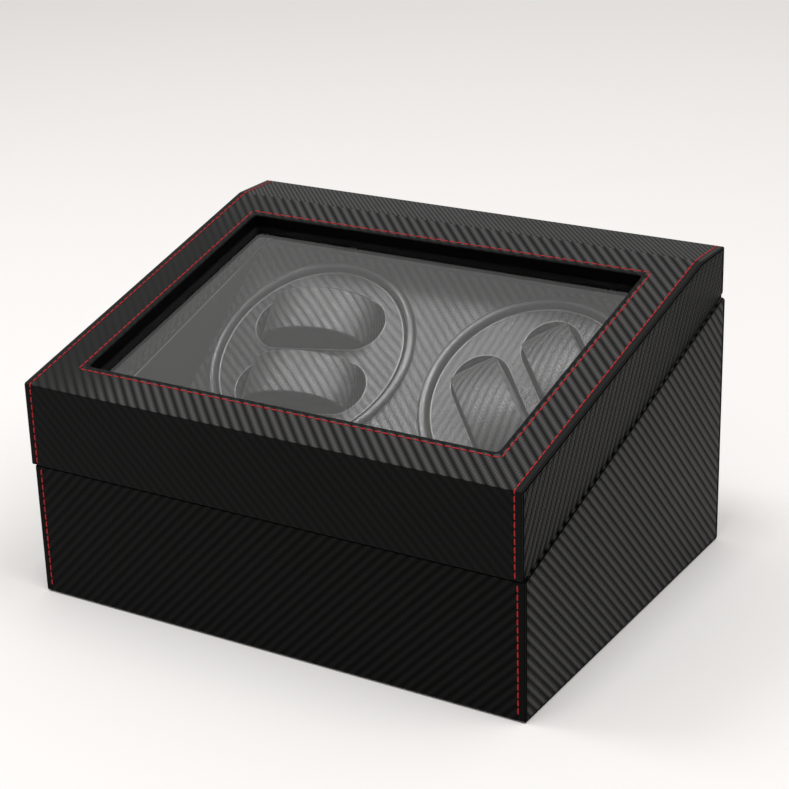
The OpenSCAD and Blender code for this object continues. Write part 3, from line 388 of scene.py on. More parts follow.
# black lining and velvet, darkened further as painted shade where the lid shades the inside
lining = leatherette("leatheretteLidLining", 60, kind="Object", axes=(1, 2), ribColour=0.012)
velvet = softBlack("blackVelvet", 0.004, 0.85, 0.08)
plainLining = softBlack("plainLining", 0.005, 0.85, 0.08)
padSides = softBlack("cushionSides", 0.010, 0.6, 0.2, 0.02)
felt = softBlack("blackFelt", 0.02, 0.95, 0.2)
board = fibreboard("fibreboard")
red = threadRed("redThread")
bezelBlack = plastic("bezelBlack", (0.026, 0.026, 0.026), 0.36, 1.0)
# grey where the beads are black: painted highlight along the disc's edge, the slots' lips and the liner's
# piping
beadHighlight = plastic("beadHighlight", (0.20, 0.20, 0.20), 0.25, 0.8)
# black plastic, darkened further as painted shade of the window's recess
edgeBlack = plastic("edgeBlack", (0.0007, 0.0007, 0.0007), 0.6, 0.03)
satin = plastic("satinBlack", (0.016, 0.016, 0.017), 0.42, 0.4)
nylon = plastic("naturalNylon", (0.72, 0.70, 0.64), 0.45)
circuitGreen = plastic("circuitGreen", (0.015, 0.13, 0.05), 0.35)
wireRed = plastic("wireRed", (0.42, 0.02, 0.02), 0.4)
zinc = metal("zincPlate", (0.60, 0.61, 0.63), 0.34, (1, 6, 1))
bright = metal("groundSteel", (0.72, 0.72, 0.73), 0.2, (1, 1, 8))
nickel = metal("nickelPlate", (0.70, 0.69, 0.65), 0.24, (8, 1, 1))
blackScrew = metal("screwPlate", (0.40, 0.40, 0.42), 0.35)
brass = metal("machinedBrass", (0.72, 0.50, 0.20), 0.25)
pane = clearPane("clearPane")

finishes = {
    felt: ["bottom_felt"],
    board: ["floor_board", "front_board", "back_board", "base_side_boards", "battens"],
    velvet: ["side_liners", "front_liner", "well_lining", "rear_shelf", "pane_retainer"],
    lining: ["lid_side_boards"],
    plainLining: ["lid_front_board", "lid_back_board", "lid_top_board"],
    panelLeather: ["turntable_panel"],
    discLeather["left"]: ["left_disc"],
    discLeather["right"]: ["right_disc"],
    satin: ["left_cups", "right_cups", "control_tub", "power_inlet", "left_mode_knob", "right_mode_knob"],
    edgeBlack: ["window_reveal", "window_spacer"],
    nylon: ["left_gear", "right_gear", "rotary_switches"],
    zinc: ["drive_plate", "drive_posts", "left_gear_motor", "right_gear_motor"],
    bright: ["left_spindle", "right_spindle", "hinge_pins"],
    nickel: ["base_hinge_leaves", "lid_hinge_leaves"],
    blackScrew: ["base_screws", "lid_screws"],
    brass: ["left_pinion", "right_pinion"],
    circuitGreen: ["circuit_board"],
    wireRed: ["wiring"],
    pane: ["window_pane"],
}
for material, names in finishes.items():
    for name in names:
        mesh = nodes[name].data
        mesh.materials.clear()
        mesh.materials.append(material)
print("materials made")


# mesh helpers

def makeMesh(name, points, faces, material, body, uv=None, merge=0.0):
    # points in mm; faces as rows of corner numbers; uv as one pair in mm for each point;
    # merge in mm, within which points become one
    mesh = bpy.data.meshes.new(name)
    mesh.from_pydata((np.asarray(points) * mm).tolist(), [], [list(f) for f in faces])
    if uv is not None:
        layer = mesh.uv_layers.new(name="surface")
        corner = np.empty(len(mesh.loops), int)
        mesh.loops.foreach_get("vertex_index", corner)
        layer.data.foreach_set("uv", (np.asarray(uv)[corner] * mm).astype(np.float32).ravel())
    mesh.materials.append(material)
    mesh.polygons.foreach_set("use_smooth", [True] * len(mesh.polygons))
    mesh.validate()
    thing = bpy.data.objects.new(name, mesh)
    bpy.context.scene.collection.objects.link(thing)
    if merge:
        shape = bmesh.new()
        shape.from_mesh(mesh)
        bmesh.ops.remove_doubles(shape, verts=shape.verts, dist=merge * mm)
        shape.to_mesh(mesh)
        shape.free()
    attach(thing, body)
    return thing


def gridFaces(rows, columns, wrapRows=False, wrapColumns=False, flip=False, first=0):
    # quads between neighbours of a rows by columns grid numbered along its rows
    i = np.arange(rows if wrapRows else rows - 1)
    j = np.arange(columns if wrapColumns else columns - 1)
    i, j = np.meshgrid(i, j, indexing="ij")
    below, beside = (i + 1) % rows, (j + 1) % columns
    quads = np.stack([i * columns + j, i * columns + beside, below * columns + beside, below * columns + j],
                     -1).reshape(-1, 4) + first
    return quads[:, ::-1] if flip else quads


# outlines of the case

case = {
    "halfWidth": 170, "lidHalf": 170.5, "lidShift": -2, "halfDepth": 133,
    "frontHeight": 140, "rearHeight": 199, "rearFlat": 34,
    "splitFront": 86, "splitRear": 167, "gap": 0.2, "foot": 0.4,
    "skin": 1.0, "groove": 1.0, "wall": 7.0, "fold": 1.6, "bend": 15, "rim": 0.8,
    "hingeBack": 2.0, "grooveDown": 45, "grooveUp": 57,
    "splitBend": 0.7, "grooveBend": 0.5,    # mm, bends where the skin turns in at the split and the groove
    "grooveSkin": 0.9,                      # mm, how far the skin reaches into the groove
    "cornerPlug": 1.9,                      # mm behind the front, where the side panels' skin meets the fold
    "rollIn": 0.55,                         # mm, how far in a side panel's skin starts to turn over
    "panelIn": 2.0,                         # mm, how far a side panel stays back from the front and back
}
splitSlope = (case["splitRear"] - case["splitFront"]) / (2 * case["halfDepth"])
roofSlope = (case["rearHeight"] - case["frontHeight"]) / (2 * case["halfDepth"] - case["rearFlat"])
roofAngle = np.arctan(roofSlope)


def splitZ(y):
    # height of the split: a straight line from the front to the back
    return case["splitFront"] + (y + case["halfDepth"]) * splitSlope


def roofZ(y, inset=0.0):
    # height of the lid's top, inset downwards square to it: the slope, cut off by the flat strip
    slope = case["frontHeight"] + (y + case["halfDepth"]) * roofSlope - inset / np.cos(roofAngle)
    return np.minimum(slope, case["rearHeight"] - inset)


def bendPoint(inset=0.0):
    # where the slope meets the flat strip
    height = case["rearHeight"] - inset
    return (height - case["frontHeight"] + inset / np.cos(roofAngle)) / roofSlope - case["halfDepth"], height


arcSteps = 8
arcPoints = arcSteps + 3        # an arc's own points and one beside each end
arcLead = 0.3                   # mm, from an arc's end to the point beside it


def filletPath(corners, radii, stops=None):
    # a path through corners in which each inner corner gives way to an arc that touches both its sides
    corners = [np.array(c, float) for c in corners]
    path = [corners[0]]
    for k in range(1, len(corners) - 1):
        a, b, c = corners[k - 1:k + 2]
        u, v = (a - b) / np.linalg.norm(a - b), (c - b) / np.linalg.norm(c - b)
        half = np.arccos(np.clip(u @ v, -1, 1)) / 2
        radius = radii[k - 1]
        centre = b + (u + v) / np.linalg.norm(u + v) * radius / np.sin(half)
        start, end = b + u * radius / np.tan(half) - centre, b + v * radius / np.tan(half) - centre
        turn = np.arctan2(start[0] * end[1] - start[1] * end[0], start @ end)
        t = np.linspace(0, turn, arcSteps + 1)
        arc = centre + np.stack([start[0] * np.cos(t) - start[1] * np.sin(t),
                                 start[0] * np.sin(t) + start[1] * np.cos(t)], 1)
        path += [arc[0] + u * arcLead, *arc, arc[-1] + v * arcLead]
        for d in (stops or {}).get(k, []):
            path.append(b + v * d)
    path.append(corners[-1])
    return np.array(path)


class Wrap:
    # a strip of skin that follows a side outline: x runs across, s along the outline, depth into it;
    # way is -1 where the outline runs the other way round, down the front and up the rear
    def __init__(self, path, way=1):
        self.path = path
        steps = np.linalg.norm(np.diff(path, axis=0), axis=1)
        self.s = np.concatenate([[0], np.cumsum(steps)])
        along = np.gradient(path, self.s, axis=0)
        along /= np.linalg.norm(along, axis=1)[:, None]
        self.normal = way * np.stack([-along[:, 1], along[:, 0]], 1)

    def place(self, x, s, depth):
        # depth goes in along the outline's own normal
        y, z, ny, nz = (np.interp(s, self.s, value) for value in (*self.path.T, *self.normal.T))
        return np.stack([x + 0 * y, y - depth * ny, z - depth * nz], -1)


seam = {"fromEdge": 4.5, "fromWindow": 4.0, "dip": 0.22, "spread": 0.6,
        "length": 4.35, "pitch": 5.0, "width": 1.0, "height": 0.62,
        "blunt": 3.5, "lobe": 0.14, "turns": 0.8,       # a stitch's ends, and its twist
        "proud": 0.06, "tuck": 0.25,                    # mm, its middle stands out and its ends go in
        "fromBend": 1.5, "fromSplit": 0.5}              # mm, from a row's end to a bend or to the split


def dip(distance):
    # the skin is drawn down along a line of stitches, as a bell curve of the distance from it
    return seam["dip"] * np.exp(-(np.asarray(distance) / seam["spread"]) ** 2)


edgeRoll = np.array([[0, 1.0], [0, 0.55], [0.08, 0.28], [0.25, 0.10], [0.55, 0.02], [1.0, 0]])
seamSteps = np.array([-1.5, -0.9, -0.5, -0.2, 0, 0.2, 0.5, 0.9, 1.5])


def stripColumns(half, inner):
    # positions across a strip and the depth at each: rolled edges, a dip along both seams
    near = np.concatenate([edgeRoll[:, 0], seam["fromEdge"] + seamSteps])
    deep = np.concatenate([edgeRoll[:, 1], dip(seamSteps)])
    x = np.concatenate([-half + near, inner, (half - near)[::-1]])
    depth = np.concatenate([deep, np.zeros(len(inner)), deep[::-1]])
    return x, depth


gridStep = 24           # mm, about how far apart a grid's plain columns and rows are
touch = 0.1             # mm, within which two places count as one


def around(start, end, step):
    # even steps from start to end, each about as long as step
    return np.linspace(start, end, max(2, int(round(abs(end - start) / step)) + 1))


# lid covering

window = {"width": 284, "front": 27.5, "rear": 24, "radius": 3, "margin": 8, "lead": 6}
windowCorner = np.array([0, 2, 4.5, 7.5, 11])       # mm, columns and rows near the ring's corners
windowRoll = np.array([[0.6, 0], [0.35, 0.02], [0.15, 0.10], [0.05, 0.28], [0, 0.55], [0, 1.0]])
slopeLength = (2 * case["halfDepth"] - case["rearFlat"]) / cos(roofAngle)
window["length"] = slopeLength - window["front"] - window["rear"]


def nearWindow(qx, qs, offset):
    # the point on the window's rounded rectangle, grown by offset, that lies nearest to (qx, qs)
    hw, hl, r = window["width"] / 2, window["length"] / 2, window["radius"]
    cx, cs = np.clip(qx, -hw + r, hw - r), np.clip(qs, -hl + r, hl - r)
    dx, ds = qx - cx, qs - cs
    away = np.hypot(dx, ds)
    return cx + dx / away * (r + offset), cs + ds / away * (r + offset)


def lidOutline(stops):
    # from the fold under the front's edge, up the front, over the slope and the flat, down to the groove;
    # the slope gets a point at each stop
    hd, c = case["halfDepth"], case
    foldIn, plugIn = -hd + c["wall"], -hd + c["cornerPlug"]
    steep = tan(radians(c["grooveUp"]))
    tailZ = splitZ(hd - c["hingeBack"]) + c["hingeBack"] * steep
    path = filletPath(
        [(foldIn, splitZ(foldIn) + c["gap"]), (-hd, splitZ(-hd) + c["gap"]), (-hd, c["frontHeight"]),
         bendPoint(), (hd, c["rearHeight"]), (hd, tailZ),
         (hd - c["grooveSkin"], tailZ - c["grooveSkin"] * steep)],
        [c["splitBend"], c["fold"], c["bend"], c["fold"], c["grooveBend"]], {2: list(stops)})
    return np.insert(path, 1, [plugIn, splitZ(plugIn) + c["gap"]], 0)


def windowRing(border, qx, qs, first):
    # rings from the grid's border to the window: each takes the nearest point of the window's outline,
    # grown by less and less, and the last ones roll down into the window
    offsets = np.concatenate([seam["fromWindow"] - seamSteps, windowRoll[:, 0]])
    depths = np.concatenate([dip(seamSteps), windowRoll[:, 1]])
    ringX, ringS = zip(*[nearWindow(qx, qs, o) for o in offsets])
    count = len(border)
    numbers = np.vstack([border, first + np.arange(len(offsets) * count).reshape(len(offsets), count)])
    a, b = numbers[:-1], numbers[1:]
    faces = np.stack([a, np.roll(a, -1, 1), np.roll(b, -1, 1), b], -1).reshape(-1, 4)
    return np.concatenate(ringX), np.concatenate(ringS), np.repeat(depths, count), faces


def lidCovering():
    # a grid over the whole strip with the window's surroundings left out, and rings that fill them
    c, m, hw, hl = case, window["margin"], window["width"] / 2, window["length"] / 2
    middle, edge, corner = window["front"] + hl, hw + m, windowCorner
    low, high = middle - hl - m + corner, middle + hl + m - corner[::-1]
    stops = np.concatenate([[window["front"] - m - window["lead"]], low,
                            around(low[-1], high[0], gridStep)[1:-1], high])
    path = lidOutline(stops)
    wrap = Wrap(path)
    s = wrap.s
    frontTop = np.array([-c["halfDepth"], c["frontHeight"]])
    firstStop = frontTop + stops[0] * np.array([cos(roofAngle), sin(roofAngle)])
    slopeStart = s[np.argmin(np.abs(path - firstStop).sum(1))] - stops[0]
    inner = np.concatenate([-edge + corner, around(corner[-1] - edge, edge - corner[-1], gridStep)[1:-1],
                            edge - corner[::-1]])
    x, depth = stripColumns(c["lidHalf"], inner)
    gridX, gridS = np.meshgrid(x, s)
    gridX, gridS, gridDepth = gridX.ravel(), gridS.ravel(), np.tile(depth, len(s))
    faces = gridFaces(len(s), len(x))
    centreX, centreS = gridX[faces].mean(1), gridS[faces].mean(1)
    inside = (np.abs(centreX) < edge - touch) & (np.abs(centreS - slopeStart - middle) < hl + m - touch)
    spare = (np.abs(centreX) > c["lidHalf"] - c["skin"]) & (centreS < s[1])
    i0, i1 = (np.argmin(abs(s - slopeStart - (middle + end * (hl + m)))) for end in (-1, 1))
    j0, j1 = (np.argmin(abs(x - end * edge)) for end in (-1, 1))
    loop = np.array([(i0, j) for j in range(j0, j1)] + [(i, j1) for i in range(i0, i1)]
                    + [(i1, j) for j in range(j1, j0, -1)] + [(i, j0) for i in range(i1, i0, -1)])
    border = loop[:, 0] * len(x) + loop[:, 1]
    ringX, ringS, ringDepth, ring = windowRing(border, gridX[border], gridS[border] - slopeStart - middle,
                                               len(gridX))
    allX = np.concatenate([gridX, ringX])
    allS = np.concatenate([gridS, ringS + slopeStart + middle])
    points = wrap.place(allX, allS, np.concatenate([gridDepth, ringDepth]))
    points[:, 0] += c["lidShift"]
    faces = np.concatenate([faces[~inside & ~spare], ring])
    thing = makeMesh("lidCovering", points, faces, lidTop, "lid", np.stack([allX, allS], 1))
    for material in (lidFront, lidRear, lidRoll):       # slots 1, 2 and 3 beside lidTop
        thing.data.materials.append(material)
    along = allS[faces].mean(1) - slopeStart
    kind = np.where(along < 0, 1, np.where(along > slopeLength, 2, 0))
    kind[-len(windowRoll) * len(border):] = 3
    thing.data.polygons.foreach_set("material_index", kind)
    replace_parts(thing, "lid_cover")
    return wrap, slopeStart, middle


lidWrap, slopeStart, windowMiddle = lidCovering()


# base covering

controls = {"x": 100, "z": 42, "width": 80, "height": 34, "step": 20, "farthest": 150}


def baseOutline(stops):
    # from the fold over the front's edge, down the front, along the underside and up the back to the
    # groove; the back gets a point at each stop
    hd, c = case["halfDepth"], case
    foldIn, plugIn = -hd + c["wall"], -hd + c["cornerPlug"]
    steep = tan(radians(c["grooveDown"]))
    tailZ = splitZ(hd - c["hingeBack"]) - c["hingeBack"] * steep
    path = filletPath(
        [(foldIn, splitZ(foldIn) - c["gap"]), (-hd, splitZ(-hd) - c["gap"]), (-hd, c["foot"]),
         (hd, c["foot"]), (hd, tailZ), (hd - c["grooveSkin"], tailZ + c["grooveSkin"] * steep)],
        [c["splitBend"], c["fold"], c["fold"], c["grooveBend"]], {3: stops})
    return np.insert(path, 1, [plugIn, splitZ(plugIn) - c["gap"]], 0)


def baseCovering():
    # a grid over the whole strip without the faces that lie over the controls' recess
    c, k = case, controls
    lowZ, highZ = k["z"] - k["height"] / 2, k["z"] + k["height"] / 2
    lowX, highX = k["x"] - k["width"] / 2, k["x"] + k["width"] / 2
    wrap = Wrap(baseOutline([lowZ - c["foot"], highZ - c["foot"]]), -1)
    inner = np.concatenate([around(-k["farthest"], lowX, gridStep), around(lowX, highX, k["step"])[1:],
                            [k["farthest"]]])
    x, depth = stripColumns(c["halfWidth"], inner)
    gridX, gridS = np.meshgrid(x, wrap.s)
    gridX, gridS = gridX.ravel(), gridS.ravel()
    faces = gridFaces(len(wrap.s), len(x))
    centreX, centreS = gridX[faces].mean(1), gridS[faces].mean(1)
    y, z = (np.interp(centreS, wrap.s, value) for value in wrap.path.T)
    recess = (y > c["halfDepth"] - touch) & (z > lowZ) & (z < highZ) & (centreX > lowX) & (centreX < highX)
    spare = (np.abs(centreX) > c["halfWidth"] - c["skin"]) & (centreS < wrap.s[1])
    points = wrap.place(gridX, gridS, np.tile(depth, len(wrap.s)))
    thing = makeMesh("baseCovering", points, faces[~recess & ~spare][:, ::-1], baseFront, "base",
                     np.stack([gridX, -gridS], 1))
    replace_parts(thing, "base_cover")
    return wrap


baseWrap = baseCovering()
print("coverings made")


# side panels

# how far in each ring of the skin lies and how far it stands out: a rolled edge and a fine crease
sideEdge = np.array([[0, 0], [0, 0.45], [0.08, 0.72], [0.25, 0.90], [0.55, 0.98], [1.0, 1.0],
                     [1.45, 0.98], [1.65, 0.80], [1.85, 0.98], [2.3, 1.0], [6, 1.0]])
edgeShadeRings = 4        # how many of the edge's rings, from the outside, carry the painted shade of the groove


def insetLoop(loop, distance):
    # every corner moves in along the mitre of its two sides
    before, after = loop - np.roll(loop, 1, 0), np.roll(loop, -1, 0) - loop
    turn = lambda d: np.stack([-d[:, 1], d[:, 0]], 1) / np.linalg.norm(d, axis=1)[:, None]
    a, b = turn(before), turn(after)
    return loop + distance * (a + b) / (1 + (a * b).sum(1))[:, None]


def sidePanel(name, loop, side, half, shift, rimHeight, body, node, material):
    # a skin with a rolled edge on a flat board: loops of the outline step inwards as they rise
    loops = np.array([insetLoop(loop, d) for d in sideEdge[:, 0]])
    rise = half - case["skin"] + sideEdge[:, 1]
    count = len(loop)
    x = side * np.repeat(rise, count) + shift
    points = np.column_stack([x, loops.reshape(-1, 2)])
    uv = points[:, [1, 2]]
    faces = gridFaces(len(rise), count, wrapColumns=True, flip=side < 0).tolist()
    last = list(range(len(points) - count, len(points)))
    faces.append(last if side > 0 else last[::-1])
    # the skin turned in over the board's edge at the split
    end, within = case["halfDepth"] - case["panelIn"], case["halfDepth"] - case["wall"]
    reach = [(end, half - case["rollIn"]), (end, half - case["skin"]), (within, half - case["skin"]),
             (within, half - case["wall"])]
    for (y0, x0), (y1, x1) in (reach[:2], reach[2:]):
        first = len(points)
        y = np.array([-y0, y0, y1, -y1])
        points = np.vstack([points, np.column_stack([side * np.array([x0, x0, x1, x1]) + shift, y,
                                                     splitZ(y) + rimHeight])])
        uv = np.vstack([uv, points[-4:, :2]])
        quad = [first, first + 1, first + 2, first + 3]
        faces.append(quad if (side > 0) == (rimHeight < 0) else quad[::-1])
    thing = makeMesh(name, points, faces, material, body, uv)
    thing.data.materials.append(sideRoll)
    # the outermost rings take the near-black copy: painted shade of the groove
    edgeShadeBand = np.arange(len(faces)) < edgeShadeRings * count
    thing.data.polygons.foreach_set("material_index", edgeShadeBand.astype(int))
    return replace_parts(thing, node)


def baseSideLoop():
    # four corners, seen from the right
    y = case["halfDepth"] - case["panelIn"]
    low = case["foot"] + case["skin"]
    return np.array([[-y, low], [y, low], [y, splitZ(y) - case["gap"]], [-y, splitZ(-y) - case["gap"]]])


def lidSideLoop():
    # as the base's, with the bend rounded between the slope and the flat
    y = case["halfDepth"] - case["panelIn"]
    inset = case["skin"] + case["groove"]
    corners = [(-y, splitZ(-y) + case["gap"]), (-y, roofZ(-y, inset)), bendPoint(inset), (y, roofZ(y, inset)),
               (y, splitZ(y) + case["gap"])]
    path = filletPath([corners[1], corners[2], corners[3]], [case["bend"] - inset])[::-1]
    return np.array([corners[0], corners[4], *path])


for side, word in ((-1, "left"), (1, "right")):
    sidePanel(word + "BasePanel", baseSideLoop(), side, case["halfWidth"], 0, -case["gap"],
              "base", f"base_{word}_panel", plainSide)
    sidePanel(word + "LidPanel", lidSideLoop(), side, case["lidHalf"], case["lidShift"], case["gap"],
              "lid", f"lid_{word}_panel", lidSide)
print("side panels made")


# stitches

def stitchRuns(wrap, runs):
    # each stitch is a twisted lozenge: two lobes that turn once along it, thin at both ends
    centres, ways = [], []
    for (x0, s0), (x1, s1) in runs:
        start, end = np.array([x0, s0], float), np.array([x1, s1], float)
        length = np.linalg.norm(end - start)
        way = (end - start) / length
        count = int(length // seam["pitch"])
        first = (length - (count - 1) * seam["pitch"]) / 2
        centres.append(start + way * (first + seam["pitch"] * np.arange(count))[:, None])
        ways.append(np.tile(way, (count, 1)))
    centres, ways = np.concatenate(centres), np.concatenate(ways)
    lengths, turns = np.linspace(-1, 1, 9), np.linspace(0, 2 * pi, 8, endpoint=False)
    t, a = np.meshgrid(lengths, turns, indexing="ij")
    body = (1 - np.abs(t) ** seam["blunt"]) ** 0.5
    body = body * (1 + seam["lobe"] * np.cos(2 * (a - 2 * pi * seam["turns"] * t)))
    sideways, up = body * np.cos(a) * seam["width"] / 2, body * np.sin(a) * seam["height"] / 2
    along = t * seam["length"] / 2
    (x, s), (wayX, wayS) = (values.T[..., None, None] for values in (centres, ways))
    cx, cs = x + along * wayX - sideways * wayS, s + along * wayS + sideways * wayX
    depth = np.broadcast_to(-up - seam["proud"] + seam["tuck"] * t ** 4, cx.shape)
    points = wrap.place(cx.ravel(), cs.ravel(), depth.ravel())
    each = gridFaces(*t.shape, wrapColumns=True)
    faces = (each[None] + (np.arange(len(centres)) * t.size)[:, None, None]).reshape(-1, 4)
    uv = np.stack([np.broadcast_to(along, cx.shape).ravel(), np.broadcast_to(a * 0.5, cx.shape).ravel()], 1)
    return points, faces, uv


def lengthAt(wrap, y, z):
    # length along the outline at its point nearest to (y, z)
    return wrap.s[np.argmin(np.hypot(wrap.path[:, 0] - y, wrap.path[:, 1] - z))]


firstBend = 3           # number of the path's point where its first bend starts


def lidStitches():
    # a row near each side edge, up the front and over to the back edge, and one round the window
    x = case["lidHalf"] - seam["fromEdge"]
    hw = window["width"] / 2 + seam["fromWindow"]
    hl = window["length"] / 2 + seam["fromWindow"]
    mid = slopeStart + windowMiddle
    low, high = lidWrap.s[firstBend] + seam["fromBend"], lidWrap.s[-arcPoints - 3] - seam["fromBend"]
    runs = [((-x, low), (-x, high)), ((x, low), (x, high)),
            ((-hw, mid - hl), (hw, mid - hl)), ((hw, mid - hl), (hw, mid + hl)),
            ((hw, mid + hl), (-hw, mid + hl)), ((-hw, mid + hl), (-hw, mid - hl))]
    points, faces, uv = stitchRuns(lidWrap, runs)
    points[:, 0] += case["lidShift"]
    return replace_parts(makeMesh("lidStitches", points, faces, red, "lid", uv), "lid_stitching")


def baseStitches():
    # a row near each side edge on the front and on the back, none underneath
    x = case["halfWidth"] - seam["fromEdge"]
    frontLow = lengthAt(baseWrap, -case["halfDepth"], case["foot"] + case["fold"])
    rearLow = lengthAt(baseWrap, case["halfDepth"], case["foot"] + case["fold"])
    low, high, gap = baseWrap.s[firstBend] + seam["fromSplit"], baseWrap.s[-arcPoints - 1], seam["fromBend"]
    runs = [((side * x, a), (side * x, b)) for side in (-1, 1)
            for a, b in ((low, frontLow - gap), (rearLow + gap, high - gap))]
    points, faces, uv = stitchRuns(baseWrap, runs)
    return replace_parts(makeMesh("baseStitches", points, faces, red, "base", uv), "base_stitching")


lidStitches()
baseStitches()
print("stitches sewn")


# turntables

table = {"x": 81.2, "y": 42, "z": 113.4, "phase": {"left": 9, "right": -48}, "rim": 65.5,
         "bezelIn": 67.5, "bezelWide": 6, "bezelHigh": 3.6, "collar": 6, "collarWall": 1,
         "slotLong": 94, "slotWide": 39, "slotOff": 24.5}


def tablePlace(word, along, up, out, turned=True):
    # along and up lie in the panel, out stands off it; with turned the slots run along
    a = radians(table["phase"][word]) if turned else 0
    x = along * cos(a) - up * sin(a)
    u = along * sin(a) + up * cos(a)
    side = -1 if word == "left" else 1
    return np.stack([side * table["x"] + x,
                     table["y"] + u * cos(panelTilt) - out * sin(panelTilt),
                     table["z"] + u * sin(panelTilt) + out * cos(panelTilt)], -1)


def tableRing(name, word, profile, material, body, turned=True):
    # a profile of [radius, height] carried round the turntable's middle
    steps = 180
    a = np.linspace(0, 2 * pi, steps, endpoint=False)[:, None]
    radius, height = profile.T
    points = tablePlace(word, (np.cos(a) * radius).ravel(), (np.sin(a) * radius).ravel(),
                        np.tile(height, steps), turned)
    faces = gridFaces(steps, len(profile), wrapRows=True, wrapColumns=True, flip=True)
    return makeMesh(name, points, faces, material, body)


def bezel(word):
    # a crown a little squarer than half an ellipse, on a collar that reaches down through the panel
    t = np.linspace(pi, 0, 21)
    start, wall = table["bezelIn"], table["collarWall"]
    wide, high = table["bezelWide"] / 2, table["bezelHigh"]
    crown = np.stack([start + wide + wide * np.sign(np.cos(t)) * np.abs(np.cos(t)) ** 0.9,
                      high * np.sin(t) ** 0.85], 1)
    profile = np.vstack([[start, -table["collar"]], [start, -wall], crown,
                         [start + wall, 0.0], [start + wall, -table["collar"]]])
    ring = tableRing(word + "Bezel", word, profile, bezelBlack, "base", False)
    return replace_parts(ring, word + "_bezel")


discBead = {"in": 0.62, "wide": 0.6, "down": 0.05, "high": 0.55}      # mm
slotBead = {"out": 0.4, "wide": 0.42, "high": 0.36}                     # mm


def discRim(word):
    # a rolled bead round the disc's edge, an ellipse in section, grey as a painted highlight
    t, b = np.linspace(0, 2 * pi, 12, endpoint=False), discBead
    profile = np.stack([table["rim"] - b["in"] + b["wide"] * np.cos(t),
                        -b["down"] + b["high"] * np.sin(t)], 1)
    return tableRing(word + "DiscRim", word, profile, beadHighlight, word + "_turntable")


def stadium(long, wide, steps=24):
    # two half circles joined by straight sides: each point's place and the way out of the outline there
    r, straight = wide / 2, (long - wide) / 2
    a = np.linspace(-pi / 2, pi / 2, steps)
    right = np.stack([straight + r * np.cos(a), r * np.sin(a), np.cos(a), np.sin(a)], 1)
    return np.vstack([right, -right])


def slotLips(word):
    # the leather rolled over the edge of both slots: a thin bead along each outline, grey as a painted
    # highlight
    line = stadium(table["slotLong"], table["slotWide"])
    t = np.linspace(0, 2 * pi, 8, endpoint=False)
    out, up = slotBead["out"] + slotBead["wide"] * np.cos(t), slotBead["high"] * np.sin(t)
    points, faces = [], []
    for k, off in enumerate((-table["slotOff"], table["slotOff"])):
        along = line[:, None, 0] + line[:, None, 2] * out
        across = line[:, None, 1] + line[:, None, 3] * out + off
        points.append(tablePlace(word, along.ravel(), across.ravel(), np.tile(up, len(line))))
        faces.append(gridFaces(len(line), len(t), wrapRows=True, wrapColumns=True, flip=True,
                               first=k * len(line) * len(t)))
    return makeMesh(word + "SlotLips", np.vstack(points), np.vstack(faces), beadHighlight, word + "_turntable")


cushion = {
    "half": 38, "high": 21.2, "wide": 31.5, "low": -35.7, "taper": 5, "middle": -8,
    "crown": 0.9, "crownPower": 2.4, "crownIn": 0.75,   # mm, how it falls off, and the share sunk
    "edge": 0.35, "edgeStart": 0.96,                    # mm, the rolled edge and where it starts
    "bulge": 0.5,                                       # mm, on the flat sides
}
creasing = {
    "heights": (-4, -0.5, 2.6, 6.2), "lowest": -12, "deep": 0.10, "wide": 0.9,
    "least": 0.6, "most": 1.1,                          # shares of the depth
    "sway": 1.1, "waves": 2.2, "shifts": 6,             # how a crease wanders across the band
}


def cushionLoop():
    # the arch as a closed outline: half an ellipse, two tapering legs and a flat underside
    a = np.linspace(0, pi, 61)
    arch = np.stack([cushion["half"] * np.cos(a), cushion["high"] * np.sin(a)], 1)
    foot = cushion["half"] - cushion["taper"]
    heel = np.array([foot, cushion["low"]])
    leg = np.linspace(0, 1, 14)[1:, None]
    left = arch[-1] + leg * (heel * [-1, 1] - arch[-1])
    x = np.linspace(-foot, foot, 17)[1:-1]
    under = np.stack([x, np.full_like(x, cushion["low"])], 1)
    right = heel + (1 - leg[::-1]) * (arch[0] - heel)
    return np.vstack([arch, left, under, right])


